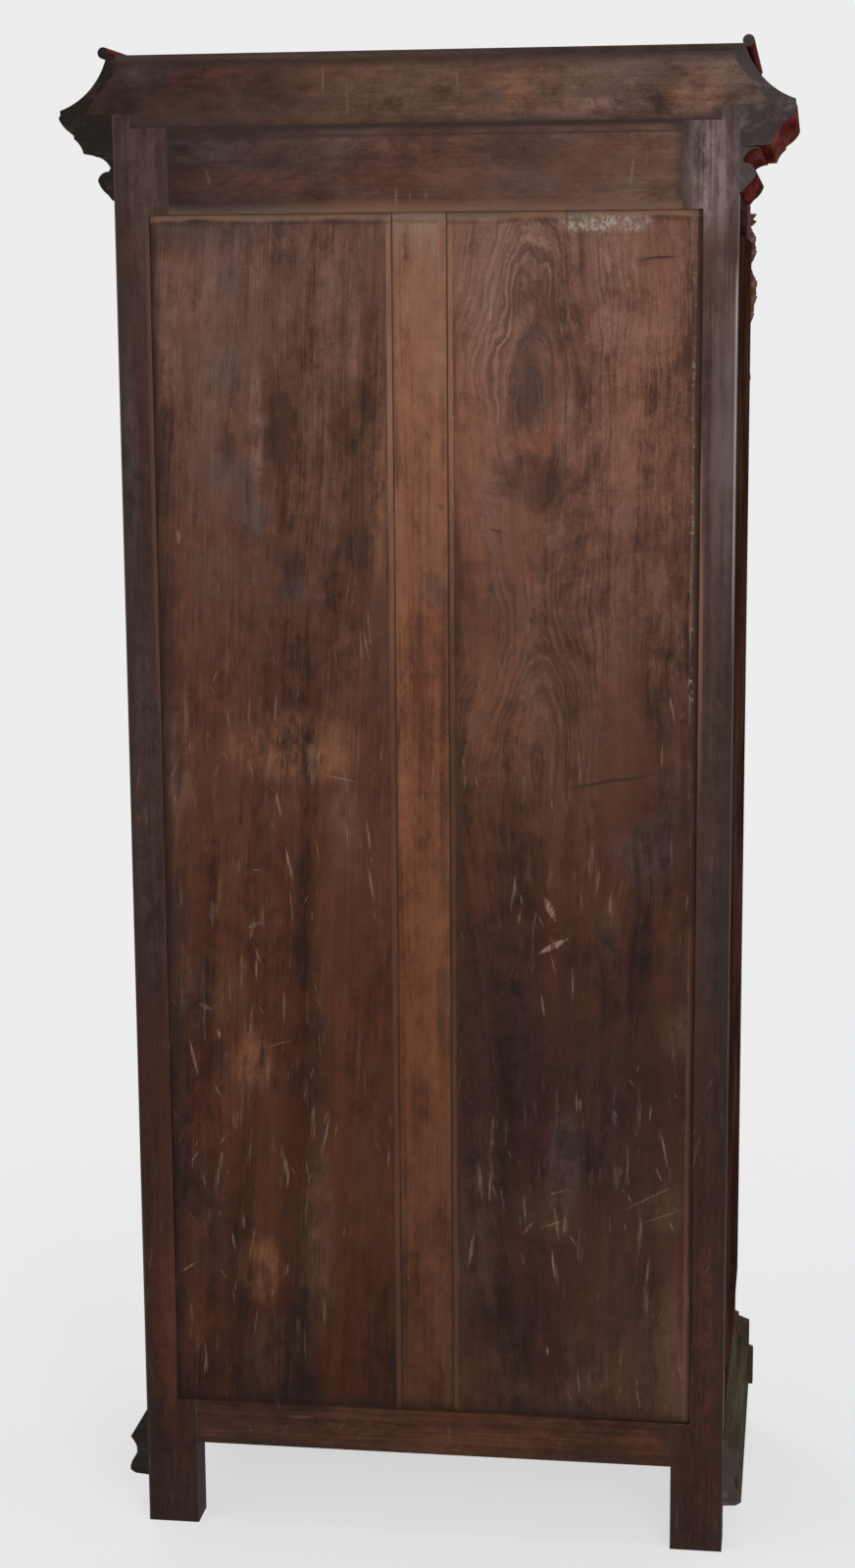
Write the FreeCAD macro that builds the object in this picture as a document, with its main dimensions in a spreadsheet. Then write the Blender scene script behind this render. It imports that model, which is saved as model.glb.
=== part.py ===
import FreeCAD, Part
import os
import re
import Sketcher

# A display cabinet of solid mahogany: a framed carcass with a boarded back, a mitred cornice,
# canted front corners with carved consoles, and one glazed door.
# Millimetres. +Z is up, the door faces -Y and the back faces +Y.
# The origin is on the floor, under the middle of the cabinet.
# Left and right are as seen from the front.

SIZES = {
    # Carcass
    "carcass_width": 760,
    "carcass_depth": 458,
    "foot_height": 64,
    "rail_setup": 20,
    "sill_reveal": 3,
    "board_thickness": 18,
    # Back
    "rear_post_width": 67,
    "rear_post_depth": 45,
    "rebate_width": 25,
    "back_rail_lift": 114,
    "back_rail_height": 59,
    "back_rail_depth": 31,
    "back_lip": 17,
    "back_panel_height": 1535,
    "back_panel_thickness": 11,
    "back_panel_recess": 8,
    "back_bevel_width": 7,
    "back_bevel_depth": 3,
    "frieze_height": 103,
    "muntin_width": 68,
    "muntin_offset": 5,
    "muntin_recess": 10,
    "muntin_lip": 12,
    # Cornice
    "crown_step": 17,
    "crown_ear_width": 21,
    "crown_foot": 35,
    "crown_inset": 6,
    "crown_slant_rise": 51,
    "crown_rise": 70,
    "crown_board_thickness": 20,
    "dust_board_thickness": 8,
    "corona_reach": 67,
    "corona_height": 49,
    "cove_reach": 65,
    "bead_radius": 7,
    "bead_setback": 56,
    "bed_reach": 26.6,
    "bed_height": 54,
    "mitre_gap": 0.3,
    # Front posts and what stands on them
    "front_post_width": 66,
    "front_post_depth": 60,
    "post_proud": 4,
    "post_proud_depth": 52,
    "cant_leg": 44,
    "collar_reach": 26,
    "collar_rebate": 8,
    "console_width": 34,
    "console_reach": 30,
    "console_height": 228,
    "console_drop": 10,
    # Front rails and base mouldings
    "front_rail_thickness": 28,
    "rail_reveal": 1,
    "base_reach": 24.5,
    "base_height": 91,
    # Sides
    "side_board_thickness": 22,
    "side_sill_rise": 82,
    "side_top_rail_height": 139,
    "side_panel_thickness": 8,
    "side_panel_recess": 6,
    "side_groove_depth": 8,
    "groove_play": 1,
    "bolection_width": 26,
    "bolection_lap": 8,
    "bolection_rise": 6.6,
    # Turned front feet
    "foot_radius": 38,
    "foot_inset": 35,
    # Shelves
    "batten_width": 22,
    "batten_thickness": 20,
    "cleat_width": 28,
    "cleat_height": 14,
    "notch_depth": 8,
    "notch_spacing": 90,
    "first_notch_rise": 172,
    "shelf_thickness": 18,
    "shelf_play": 2,
    "shelf_setback": 8,
    # Door
    "door_gap": 1.5,
    "door_thickness": 24,
    "stile_width": 62,
    "door_top_height": 62,
    "door_middle_height": 70,
    "door_bottom_height": 95,
    "door_panel_height": 265,
    "glass_rebate": 10,
    "glass_setback": 12,
    "glass_thickness": 3,
    "glass_play": 1,
    "door_groove_depth": 9,
    "door_panel_thickness": 10,
    "door_panel_setback": 8,
    "door_field_margin": 28,
    "door_field_rise": 6,
    "door_field_slope": 14,
    # Hinges
    "leaf_thickness": 2,
    "leaf_width": 20,
    "leaf_height": 60,
    "knuckle_radius": 4,
    "knuckle_reach": 4.5,
    "knuckle_play": 0.3,
    "hinge_pin_radius": 1.6,
    "hinge_end_distance": 150,
    # Lock
    "lock_level": 935,
    "lock_length": 54,
    "lock_height": 70,
    "lock_depth": 13,
    "lock_wall": 3,
    "bolt_length": 44,
    "bolt_height": 16,
    "bolt_thickness": 7,
    "bolt_throw": 9,
    "bolt_rise": 12,
    "bolt_play": 0.3,
    "bolt_setback": 0.5,
    "mortise_play": 3,
    "key_setback": 36,
    "key_drop": 14,
    "key_radius": 3,
    "key_play": 0.4,
    "key_stem": 28,
    "key_bow_radius": 11,
    "key_wire_radius": 2.2,
    "key_collar_radius": 4.4,
    "key_collar_width": 3,
    "key_bit_reach": 10.5,
    "key_bit_length": 5,
    "key_bit_thickness": 2.4,
    "key_well_radius": 12,
    "escutcheon_height": 58,
    "escutcheon_width": 26,
    "escutcheon_thickness": 1.5,
    # Cuts run past the face that they start from by this much
    "overrun": 10,
}

# Profiles, as shares of the reach and the height of each moulding, from its inner bottom corner outwards.
# A third number curves the edge to the next point: the tangent of a quarter of the arc's turn.
CORONA_SHARES = (
    (0, 0), (0.552, 0.061, -0.18), (0.722, 0.422), (0.727, 0.506), (0.806, 0.592, 0.11),
    (0.988, 0.878), (1, 0.95), (0.967, 1), (0, 1),
)
BED_SHARES = (
    (0, 0), (0.105, 0.028), (0.271, 0.137, 0.17), (0.748, 0.463, 0.35), (0.233, 0.659),
    (0.135, 0.735, -0.3), (1, 1), (0, 1),
)
BASE_SHARES = (
    (0, 0), (0.73, 0.016), (1, 0.066), (1, 0.13), (0.9, 0.204, -0.37), (0.763, 0.511),
    (0.947, 0.582), (0, 1),
)
BOLECTION_SHARES = ((0, 0, -0.3), (0.25, 0.92), (0.36, 1, -0.25), (0.55, 0.62), (0.62, 0.62, 0.25), (1, -0.6))
FOOT_SHARES = (
    (0, 0), (0.58, 0, 0.12), (0.9, 0.2, 0.2), (1, 0.45, 0.25), (0.72, 0.8), (0.66, 0.83), (0.66, 0.87),
    (0.79, 0.9), (0.79, 1), (0, 1),
)
# Carved console, as shares of its reach and height, from its foot up
CONSOLE_SHARES = (
    (0, 0), (0.48, 0, 0.2), (0.78, 0.025, 0.15), (0.69, 0.105), (0.46, 0.145), (0.6, 0.195), (0.58, 0.29, 0.08),
    (1, 0.55, 0.15), (0.96, 0.61, 0.1), (0.73, 0.672), (0.51, 0.69), (0.86, 0.73, 0.14), (0.83, 0.885),
    (0.61, 0.92), (1, 0.955), (0.75, 0.967), (0.92, 1), (0, 1),
)
# Plinth collar: each step's top as a share of the base moulding's height, and its reach as a share
COLLAR_STEP_SHARES = ((0.55, 1), (1, 0.77), (1.15, 0.2))
BEAD_LOW_SHARES = (-0.4286, -0.9035)
COVE_CURVE_SHARE = -0.245
CROWN_FILLET_SHARE = 0.088
QUARTER_TURN_SHARE = 0.4142
BEAD_ARC_SHARE = 0.552
ESCUTCHEON_CURVE_SHARE = 0.2
SHELF_NOTCHES = (2, 6, 10)
NOTCH_COUNT = 15
DOOR_HINGES = 3
# Degrees between the front and the canted corners
CANT_TURN = 45

LEFT, RIGHT = -1, 1
SIDE_NAMES = {LEFT: "left", RIGHT: "right"}
NORMAL_SIGNS = {"XY": 1, "XZ": -1, "YZ": 1}
FUNCTIONS = ("sqrt", "tan", "atan")
WORD = re.compile(r"[a-z][a-z_]*[a-z]")

# Levels and planes that the sizes above give
SIDE = "(carcass_width / 2)"
BACK = "((carcass_depth + corona_reach) / 2)"
FRONT = f"({BACK} - carcass_depth)"
BACK_PANEL_FOOT = "(back_rail_lift + back_rail_height)"
BACK_PANEL_HEAD = f"({BACK_PANEL_FOOT} + back_panel_height)"
CARCASS_TOP = f"({BACK_PANEL_HEAD} + frieze_height)"
CORONA_TOP = f"({CARCASS_TOP} + crown_step)"
CORONA_FOOT = f"({CORONA_TOP} - corona_height)"
BED_FOOT = f"({CORONA_FOOT} - bed_height)"
CROWN_TOP = f"({CORONA_TOP} + crown_rise)"
DUST_FOOT = f"({CROWN_TOP} - dust_board_thickness)"
RAIL_FOOT = "(foot_height + rail_setup)"
DOOR_HEAD = f"({BED_FOOT} - rail_reveal)"
DOOR_SILL = "(foot_height + base_height + sill_reveal)"
SIDE_PANEL_FOOT = f"({DOOR_SILL} + side_sill_rise)"
SIDE_PANEL_HEAD = f"({CARCASS_TOP} - side_top_rail_height)"
POST_INNER = f"({SIDE} - front_post_width)"
POST_BACK = f"({FRONT} + front_post_depth)"
REAR_POST_INNER = f"({SIDE} - rear_post_width)"
REAR_POST_FRONT = f"({BACK} - rear_post_depth)"
BOARD_INNER = f"({SIDE} - side_board_thickness)"
BACK_INNER = f"({BACK} - back_rail_depth)"
PANEL_OUTER = f"({SIDE} - side_panel_recess)"
PANEL_INNER = f"({PANEL_OUTER} - side_panel_thickness)"
DOOR_EDGE = f"({POST_INNER} - door_gap)"
DOOR_INNER = f"({DOOR_EDGE} - stile_width)"
DOOR_BACK = f"({FRONT} + door_thickness)"
DOOR_FOOT = f"({DOOR_SILL} + door_gap)"
DOOR_TOP = f"({DOOR_HEAD} - door_gap)"
DOOR_PANEL_FOOT = f"({DOOR_FOOT} + door_bottom_height)"
DOOR_PANEL_HEAD = f"({DOOR_PANEL_FOOT} + door_panel_height)"
GLASS_FOOT = f"({DOOR_PANEL_HEAD} + door_middle_height)"
GLASS_HEAD = f"({DOOR_TOP} - door_top_height)"
GLASS_FRONT = f"({FRONT} + glass_setback)"
GLASS_BACK = f"({GLASS_FRONT} + glass_thickness)"
HINGE_AXIS = f"({POST_INNER} - door_gap / 2)"
HINGE_FRONT = f"({FRONT} - knuckle_reach)"
LEAF_DEPTH = (FRONT, f"{FRONT} + leaf_width")
KEY_AXIS = f"({DOOR_EDGE} - key_setback)"
KEY_LEVEL = "(lock_level - key_drop)"
BOLT_LEVEL = "(lock_level + bolt_rise)"
BOLT_MIDDLE = f"({DOOR_BACK} + lock_depth / 2)"

doc = FreeCAD.newDocument("display_cabinet")
sheet = doc.addObject("Spreadsheet::Sheet", "Sizes")
SUBPARTS = []


def fill_sheet():
    """Write each driving size into the sheet under its name."""
    for row, (name, number) in enumerate(SIZES.items(), start=1):
        sheet.set(f"A{row}", name)
        sheet.set(f"B{row}", str(number))
        sheet.setAlias(f"B{row}", name)
    doc.recompute()


def bound(text):
    """Expression that reads the named sizes from the sheet."""
    return WORD.sub(lambda word: word[0] if word[0] in FUNCTIONS else f"Sizes.{word[0]}", text)


def value(text):
    """Present value of an expression of named sizes, in millimetres."""
    return float(sheet.evalExpression(text))


def node(solid, name):
    """Register a finished sub-part under its own name."""
    solid.Label = name
    SUBPARTS.append(solid)
    return solid


def mirrored(span, side):
    """Span along X on the given side of the middle plane."""
    return span if side == RIGHT else (f"-({span[1]})", f"-({span[0]})")


def around(middle, size, play):
    """Span of a size about a middle, with a play at each end."""
    return (f"{middle} - {size} / 2 - {play}", f"{middle} + {size} / 2 + {play}")


def box(name, x_span, y_span, z_span, side=RIGHT):
    """Box between three spans; a left one is the mirror image of a right one."""
    solid = doc.addObject("Part::Box", name)
    spans = (mirrored(x_span, side), y_span, z_span)
    for size, axis, (start, end) in zip(("Length", "Width", "Height"), "xyz", spans):
        solid.setExpression(size, bound(f"({end}) - ({start})"))
        solid.setExpression(f"Placement.Base.{axis}", bound(start))
    return solid


def cylinder(name, radius, length, place, axis="z"):
    """Cylinder from a place along +Z or +Y."""
    solid = doc.addObject("Part::Cylinder", name)
    solid.setExpression("Radius", bound(radius))
    solid.setExpression("Height", bound(length))
    if axis == "y":
        solid.Placement.Rotation = FreeCAD.Rotation(FreeCAD.Vector(1, 0, 0), -90)
    for letter, start in zip("xyz", place):
        solid.setExpression(f"Placement.Base.{letter}", bound(start))
    return solid


def joined(name, pieces):
    """One solid made of several that meet."""
    solid = doc.addObject("Part::MultiFuse", name)
    solid.Shapes = pieces
    solid.Refine = True
    return solid


def grouped(name, pieces):
    """Separate solids that share one node."""
    group = doc.addObject("Part::Compound", name)
    group.Links = pieces
    return group


def cut(name, base, tools):
    """Base with every tool's space taken out."""
    solid = doc.addObject("Part::Cut", name)
    solid.Base = base
    solid.Tool = tools[0] if len(tools) == 1 else joined(name + "_tools", tools)
    return solid


def radius_of(start, end, bulge):
    """Radius of the arc between two points of an outline."""
    chord = f"sqrt(({end[0]} - ({start[0]})) ^ 2 + ({end[1]} - ({start[1]})) ^ 2)"
    return f"{chord} * {(1 + bulge * bulge) / (4 * abs(bulge))}"


def arc_between(start, end, bulge):
    """Arc edge from start to end; a positive bulge turns anticlockwise."""
    middle = (start + end) / 2
    across = FreeCAD.Vector(end.y - start.y, start.x - end.x, 0) / 2
    ends = (start, end) if bulge > 0 else (end, start)
    return Part.Arc(ends[0], middle + across * bulge, ends[1])


def draw_outline(sketch, points):
    """Add a closed outline whose corners, and the radii between them, follow the sheet."""
    places = [FreeCAD.Vector(value(point[0]), value(point[1]), 0) for point in points]
    first = sketch.GeometryCount
    count = len(points)
    starts = []
    for index, point in enumerate(points):
        bulge = point[2] if len(point) == 3 else 0
        start, end = places[index], places[(index + 1) % count]
        sketch.addGeometry(arc_between(start, end, bulge) if bulge else Part.LineSegment(start, end))
        starts.append((first + index, 2 if bulge < 0 else 1))
    for index, point in enumerate(points):
        edge, end = starts[index - 1]
        sketch.addConstraint(Sketcher.Constraint("Coincident", edge, 3 - end, *starts[index]))
        for kind, text, place in zip(("DistanceX", "DistanceY"), point, places[index]):
            datum = sketch.addConstraint(Sketcher.Constraint(kind, *starts[index], place))
            sketch.setExpression(f"Constraints[{datum}]", bound(text))
        if len(point) == 3:
            radius = radius_of(point, points[(index + 1) % count], point[2])
            datum = sketch.addConstraint(Sketcher.Constraint("Radius", first + index, value(radius)))
            sketch.setExpression(f"Constraints[{datum}]", bound(radius))


def new_sketch(body, plane, outlines, offset="0"):
    """Sketch on one of the body's own planes, moved along that plane's axis."""
    sketch = body.newObject("Sketcher::SketchObject", f"{body.Name}_outline")
    origin_plane = next(item for item in body.Origin.OriginFeatures if item.Role == f"{plane}_Plane")
    sketch.AttachmentSupport = [(origin_plane, "")]
    sketch.MapMode = "FlatFace"
    sign = "" if NORMAL_SIGNS[plane] > 0 else "-"
    sketch.setExpression("AttachmentOffset.Base.z", bound(f"{sign}({offset})"))
    for points in outlines:
        draw_outline(sketch, points)
    return sketch


def pad(body, plane, outline, start, end):
    """Pad an outline between two levels along the plane's axis."""
    near = start if NORMAL_SIGNS[plane] > 0 else end
    feature = body.newObject("PartDesign::Pad", f"{body.Name}_pad")
    feature.Profile = new_sketch(body, plane, [outline], near)
    feature.setExpression("Length", bound(f"({end}) - ({start})"))
    return feature


def pocket_through(body, plane, outlines):
    """Cut outlines right through the body, both ways."""
    feature = body.newObject("PartDesign::Pocket", f"{body.Name}_pocket")
    feature.Profile = new_sketch(body, plane, outlines)
    feature.Type = "ThroughAll"
    feature.SideType = "Symmetric"
    return feature


def new_body(name):
    """Empty body."""
    return doc.addObject("PartDesign::Body", name)


def flipped(points, side):
    """Outline mirrored to the given side of the middle plane."""
    if side == RIGHT:
        return points
    return [(f"-({point[0]})", point[1], *(-bulge for bulge in point[2:])) for point in points]


def symmetric(half):
    """Whole outline from its right half, listed from the middle outwards."""
    return list(half) + [(f"-({x})", y) for x, y in reversed(half)]


def profile(shares, reach, height, foot):
    """Moulding outline as (reach, level) expressions from its shares."""
    return [(f"({out} * {reach})", f"({foot} + {up} * {height})", *bulge) for out, up, *bulge in shares]


def side_outline(points, side):
    """Moulding outline as it stands on a side of the carcass."""
    return flipped([(f"({SIDE} + {out})", up, *bulge) for out, up, *bulge in points], side)


def front_outline(points):
    """Moulding outline as it stands on the front of the carcass, seen along X."""
    return [(f"({FRONT} - {out})", up, *(-item for item in bulge)) for out, up, *bulge in points]


def mitre(reach, side, keep_front):
    """Triangle that takes away what lies past the mitre of a front corner, with half of the joint's gap."""
    corner_x = f"({SIDE} - mitre_gap / 2)" if keep_front else SIDE
    corner_y = FRONT if keep_front else f"({FRONT} + mitre_gap / 2)"
    inner = (f"({corner_x} - overrun)", f"({corner_y} + overrun)")
    outer = (f"({corner_x} + {reach} + overrun)", f"({corner_y} - {reach} - overrun)")
    corner = (outer[0], inner[1]) if keep_front else (inner[0], outer[1])
    return flipped([inner, corner, outer], side)


def mitred_mouldings(name, points, reach):
    """Front, left and right lengths of a moulding that meet at mitred front corners."""
    front = new_body(f"{name}_front")
    end = f"({SIDE} + {reach})"
    pad(front, "YZ", front_outline(points), f"-{end}", end)
    pocket_through(front, "XY", [mitre(reach, side, keep_front=True) for side in (LEFT, RIGHT)])
    node(front, f"{name}_front")
    for side, word in SIDE_NAMES.items():
        length = new_body(f"{name}_{word}")
        pad(length, "XZ", side_outline(points, side), f"({FRONT} - {reach})", BACK)
        pocket_through(length, "XY", [mitre(reach, side, keep_front=False)])
        node(length, f"{name}_{word}")


def make_rear_post(side):
    """Rebated back corner post with the foot below it and the ear beside the cornice board."""
    word = SIDE_NAMES[side]
    stem = box(f"rear_stem_{word}", (REAR_POST_INNER, SIDE), (REAR_POST_FRONT, BACK), ("0", CARCASS_TOP), side)
    ear = box(f"rear_ear_{word}", (f"{SIDE} - crown_ear_width", SIDE), (REAR_POST_FRONT, BACK),
              (CARCASS_TOP, CORONA_TOP), side)
    rebate = box(f"rear_rebate_{word}", (f"{REAR_POST_INNER} - overrun", f"{REAR_POST_INNER} + rebate_width"),
                 (f"{BACK} - back_panel_recess - back_panel_thickness", f"{BACK} + overrun"),
                 (BACK_PANEL_FOOT, BACK_PANEL_HEAD), side)
    groove = box(f"rear_groove_{word}", (PANEL_INNER, PANEL_OUTER),
                 (f"{REAR_POST_FRONT} - overrun", f"{REAR_POST_FRONT} + side_groove_depth"),
                 (f"{SIDE_PANEL_FOOT} - side_groove_depth", f"{SIDE_PANEL_HEAD} + side_groove_depth"), side)
    blank = joined(f"rear_blank_{word}", [stem, ear])
    node(cut(f"rear_post_{word}_body", blank, [rebate, groove]), f"rear_post_{word}")


def make_back_rails():
    """Bottom rail and frieze rail of the back, each with a lip that the panels lie on."""
    inner = f"-{REAR_POST_INNER}"
    lip_back = f"{BACK} - back_panel_recess - back_panel_thickness"
    spans = {
        "back_bottom_rail": (
            "back_rail_lift", BACK_PANEL_FOOT, BACK_PANEL_FOOT, f"{BACK_PANEL_FOOT} + back_lip"),
        "back_frieze_rail": (
            BACK_PANEL_HEAD, CARCASS_TOP, f"{BACK_PANEL_HEAD} - back_lip", BACK_PANEL_HEAD),
    }
    for name, (low, high, lip_low, lip_high) in spans.items():
        rail = box(f"{name}_bar", (inner, REAR_POST_INNER), (BACK_INNER, BACK), (low, high))
        lip = box(f"{name}_lip", (inner, REAR_POST_INNER), (BACK_INNER, lip_back), (lip_low, lip_high))
        node(joined(f"{name}_body", [rail, lip]), name)


def make_back_panel(side):
    """Board of the back, bevelled along the muntin and along its head."""
    word = SIDE_NAMES[side]
    inner, outer = f"(muntin_width / 2 + {side} * muntin_offset)", f"({REAR_POST_INNER} + rebate_width)"
    face = f"({BACK} - back_panel_recess)"
    low = f"({face} - back_panel_thickness)"
    body = new_body(f"back_panel_{word}")
    plan = [(inner, low), (outer, low), (outer, face), (f"{inner} + back_bevel_width", face),
            (inner, f"{face} - back_bevel_depth")]
    pad(body, "XY", flipped(plan, side), BACK_PANEL_FOOT, BACK_PANEL_HEAD)
    bevel = [(f"{face} + back_bevel_depth", f"{BACK_PANEL_HEAD} - 2 * back_bevel_width"),
             (f"{face} + back_bevel_depth", f"{BACK_PANEL_HEAD} + back_bevel_width"),
             (f"{face} - 2 * back_bevel_depth", f"{BACK_PANEL_HEAD} + back_bevel_width")]
    pocket_through(body, "YZ", [bevel])
    node(body, f"back_panel_{word}")


def make_back_muntin():
    """Middle board of the back, a little off centre, with a lip each side that carries the panels."""
    lip_back = f"{BACK} - back_panel_recess - back_panel_thickness"
    face = box("muntin_face", around("muntin_offset", "muntin_width", "0"), (lip_back, f"{BACK} - muntin_recess"),
               (BACK_PANEL_FOOT, BACK_PANEL_HEAD))
    lips = box("muntin_lips", around("muntin_offset", "muntin_width", "muntin_lip"), (BACK_INNER, lip_back),
               (f"{BACK_PANEL_FOOT} + back_lip", f"{BACK_PANEL_HEAD} - back_lip"))
    node(joined("back_muntin_body", [face, lips]), "back_muntin")


def make_cornice_back_board():
    """Board that closes the cornice behind, notched round the ears and slanted to the coves."""
    ear = f"({SIDE} - crown_ear_width)"
    tip = f"({SIDE} - crown_inset)"
    half = [(ear, CARCASS_TOP), (ear, CORONA_TOP), (f"({SIDE} + crown_foot)", CORONA_TOP),
            (tip, f"{CORONA_TOP} + crown_slant_rise"), (tip, DUST_FOOT)]
    body = new_body("cornice_back_board")
    pad(body, "XZ", symmetric(half), f"{BACK} - crown_board_thickness", BACK)
    node(body, "cornice_back_board")


def make_dust_board():
    """Thin board on top, inside the beads."""
    edge = f"({SIDE} - crown_inset)"
    node(box("dust_board_body", (f"-{edge}", edge), (f"{FRONT} + crown_inset", BACK), (DUST_FOOT, CROWN_TOP)),
         "dust_board")


def cove_profile():
    """Upper cornice moulding: a slanted board with a cove, and a bead along its top."""
    centre = "(cove_reach - bead_setback)"
    low_out, low_up = BEAD_LOW_SHARES
    bead_level = f"({CROWN_TOP} - {low_out} * bead_radius)"
    return [
        ("crown_foot", CORONA_TOP),
        ("cove_reach", CORONA_TOP),
        ("cove_reach", f"({CORONA_TOP} + {CROWN_FILLET_SHARE} * cove_reach)", COVE_CURVE_SHARE),
        (f"({centre} + {low_out} * bead_radius)", f"({bead_level} + {low_up} * bead_radius)", BEAD_ARC_SHARE),
        (f"({centre} + bead_radius)", bead_level, QUARTER_TURN_SHARE),
        (centre, f"({bead_level} + bead_radius)", BEAD_ARC_SHARE),
        (f"({centre} + {low_up} * bead_radius)", CROWN_TOP),
        ("(-crown_inset)", CROWN_TOP),
        ("(-crown_inset)", f"({CORONA_TOP} + crown_slant_rise)"),
    ]


def make_cornice():
    """Bed moulding, corona and cove, each in three mitred lengths."""
    bed = profile(BED_SHARES, "bed_reach", "bed_height", BED_FOOT)
    corona = profile(CORONA_SHARES, "corona_reach", "corona_height", CORONA_FOOT)
    mitred_mouldings("bed_moulding", bed, "bed_reach")
    mitred_mouldings("corona", corona, "corona_reach")
    mitred_mouldings("cove", cove_profile(), "cove_reach")


def make_front_post(side):
    """Front corner post: canted and a little proud of the side below the cornice, square behind it."""
    word = SIDE_NAMES[side]
    proud = f"({SIDE} + post_proud)"
    body = new_body(f"front_blank_{word}")
    canted = [(POST_INNER, FRONT), (f"{proud} - cant_leg", FRONT), (proud, f"{FRONT} + cant_leg"),
              (proud, f"{FRONT} + post_proud_depth"), (SIDE, f"{FRONT} + post_proud_depth"), (SIDE, POST_BACK),
              (POST_INNER, POST_BACK)]
    square = [(POST_INNER, FRONT), (SIDE, FRONT), (SIDE, POST_BACK), (POST_INNER, POST_BACK)]
    pad(body, "XY", flipped(canted, side), "foot_height", DOOR_HEAD)
    pad(body, "XY", flipped(square, side), DOOR_HEAD, CARCASS_TOP)
    groove = box(f"front_groove_{word}", (PANEL_INNER, PANEL_OUTER),
                 (f"{POST_BACK} - side_groove_depth", f"{POST_BACK} + overrun"),
                 (f"{SIDE_PANEL_FOOT} - side_groove_depth", f"{SIDE_PANEL_HEAD} + side_groove_depth"), side)
    leaf_space = (f"{POST_INNER} - overrun", f"{POST_INNER} + leaf_thickness")
    own = leaf_recesses("post_recess", leaf_space) if side == LEFT else [bolt_mortise()]
    node(cut(f"front_post_{word}_body", body, [groove] + own), f"front_post_{word}")


def hinge_levels():
    """Foot of each hinge, spread evenly between the two end ones."""
    span = f"({DOOR_TOP} - {DOOR_FOOT} - 2 * hinge_end_distance - leaf_height)"
    return [f"({DOOR_FOOT} + hinge_end_distance + {index} * {span} / {DOOR_HINGES - 1})"
            for index in range(DOOR_HINGES)]


def leaf_recesses(name, x_span):
    """Recesses that take the hinge leaves in the left post or in the door's edge."""
    y_span = (f"{FRONT} - overrun", f"{FRONT} + leaf_width")
    return [box(f"{name}_{index}", x_span, y_span, (foot, f"{foot} + leaf_height"), LEFT)
            for index, foot in enumerate(hinge_levels())]


def bolt_mortise():
    """Mortise in the right post that the lock bolt enters."""
    return box("bolt_mortise", (f"{POST_INNER} - overrun", f"{POST_INNER} + bolt_throw + mortise_play"),
               around(BOLT_MIDDLE, "bolt_thickness", "mortise_play / 2"),
               around(BOLT_LEVEL, "bolt_height", "mortise_play / 2"))


def collar_outline(reach):
    """Plan of one collar step: a band of one reach round the canted corner of a post."""
    proud = f"({SIDE} + post_proud)"
    inner = [(f"({proud} - cant_leg - collar_rebate)", FRONT), (f"({proud} - cant_leg)", FRONT),
             (proud, f"({FRONT} + cant_leg)"), (proud, f"({FRONT} + post_proud_depth)")]
    turn = f"{reach} * tan({CANT_TURN} / 2)"
    outer = [(f"({proud} + {reach})", f"({FRONT} + post_proud_depth)"),
             (f"({proud} + {reach})", f"({FRONT} + cant_leg - {turn})"),
             (f"({proud} - cant_leg + {turn})", f"({FRONT} - {reach})"),
             (f"({proud} - cant_leg - collar_rebate)", f"({FRONT} - {reach})")]
    return inner + outer


def make_plinth_collar(side):
    """Three stepped bands round the foot of a front post."""
    word = SIDE_NAMES[side]
    body = new_body(f"plinth_collar_{word}")
    low = "foot_height"
    for top, out in COLLAR_STEP_SHARES:
        high = f"(foot_height + {top} * base_height)"
        pad(body, "XY", flipped(collar_outline(f"({out} * collar_reach)"), side), low, high)
        low = high
    node(body, f"plinth_collar_{word}")


def make_console(side):
    """Scrolled console that stands out from the canted corner."""
    word = SIDE_NAMES[side]
    foot = f"({DOOR_HEAD} - console_drop - console_height)"
    body = new_body(f"console_{word}")
    outline = flipped(profile(CONSOLE_SHARES, "console_reach", "console_height", foot), side)
    pad(body, "XZ", outline, "-console_width / 2", "console_width / 2")
    proud = f"({SIDE} + post_proud)"
    body.Placement.Rotation = FreeCAD.Rotation(FreeCAD.Vector(0, 0, 1), -side * CANT_TURN)
    middle = mirrored((f"{proud} - cant_leg / 2", f"{proud} - cant_leg / 2"), side)[0]
    body.setExpression("Placement.Base.x", bound(middle))
    body.setExpression("Placement.Base.y", bound(f"{FRONT} + cant_leg / 2"))
    node(body, f"console_{word}")


def make_base_mouldings():
    """Base moulding along the front, between the collars, and along each side."""
    points = profile(BASE_SHARES, "base_reach", "base_height", "foot_height")
    end = f"({SIDE} + post_proud - cant_leg - collar_rebate)"
    front = new_body("base_moulding_front")
    pad(front, "YZ", front_outline(points), f"-{end}", end)
    node(front, "base_moulding_front")
    for side, word in SIDE_NAMES.items():
        length = new_body(f"base_moulding_{word}")
        pad(length, "XZ", side_outline(points, side), f"({FRONT} + post_proud_depth)", BACK)
        node(length, f"base_moulding_{word}")


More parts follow.
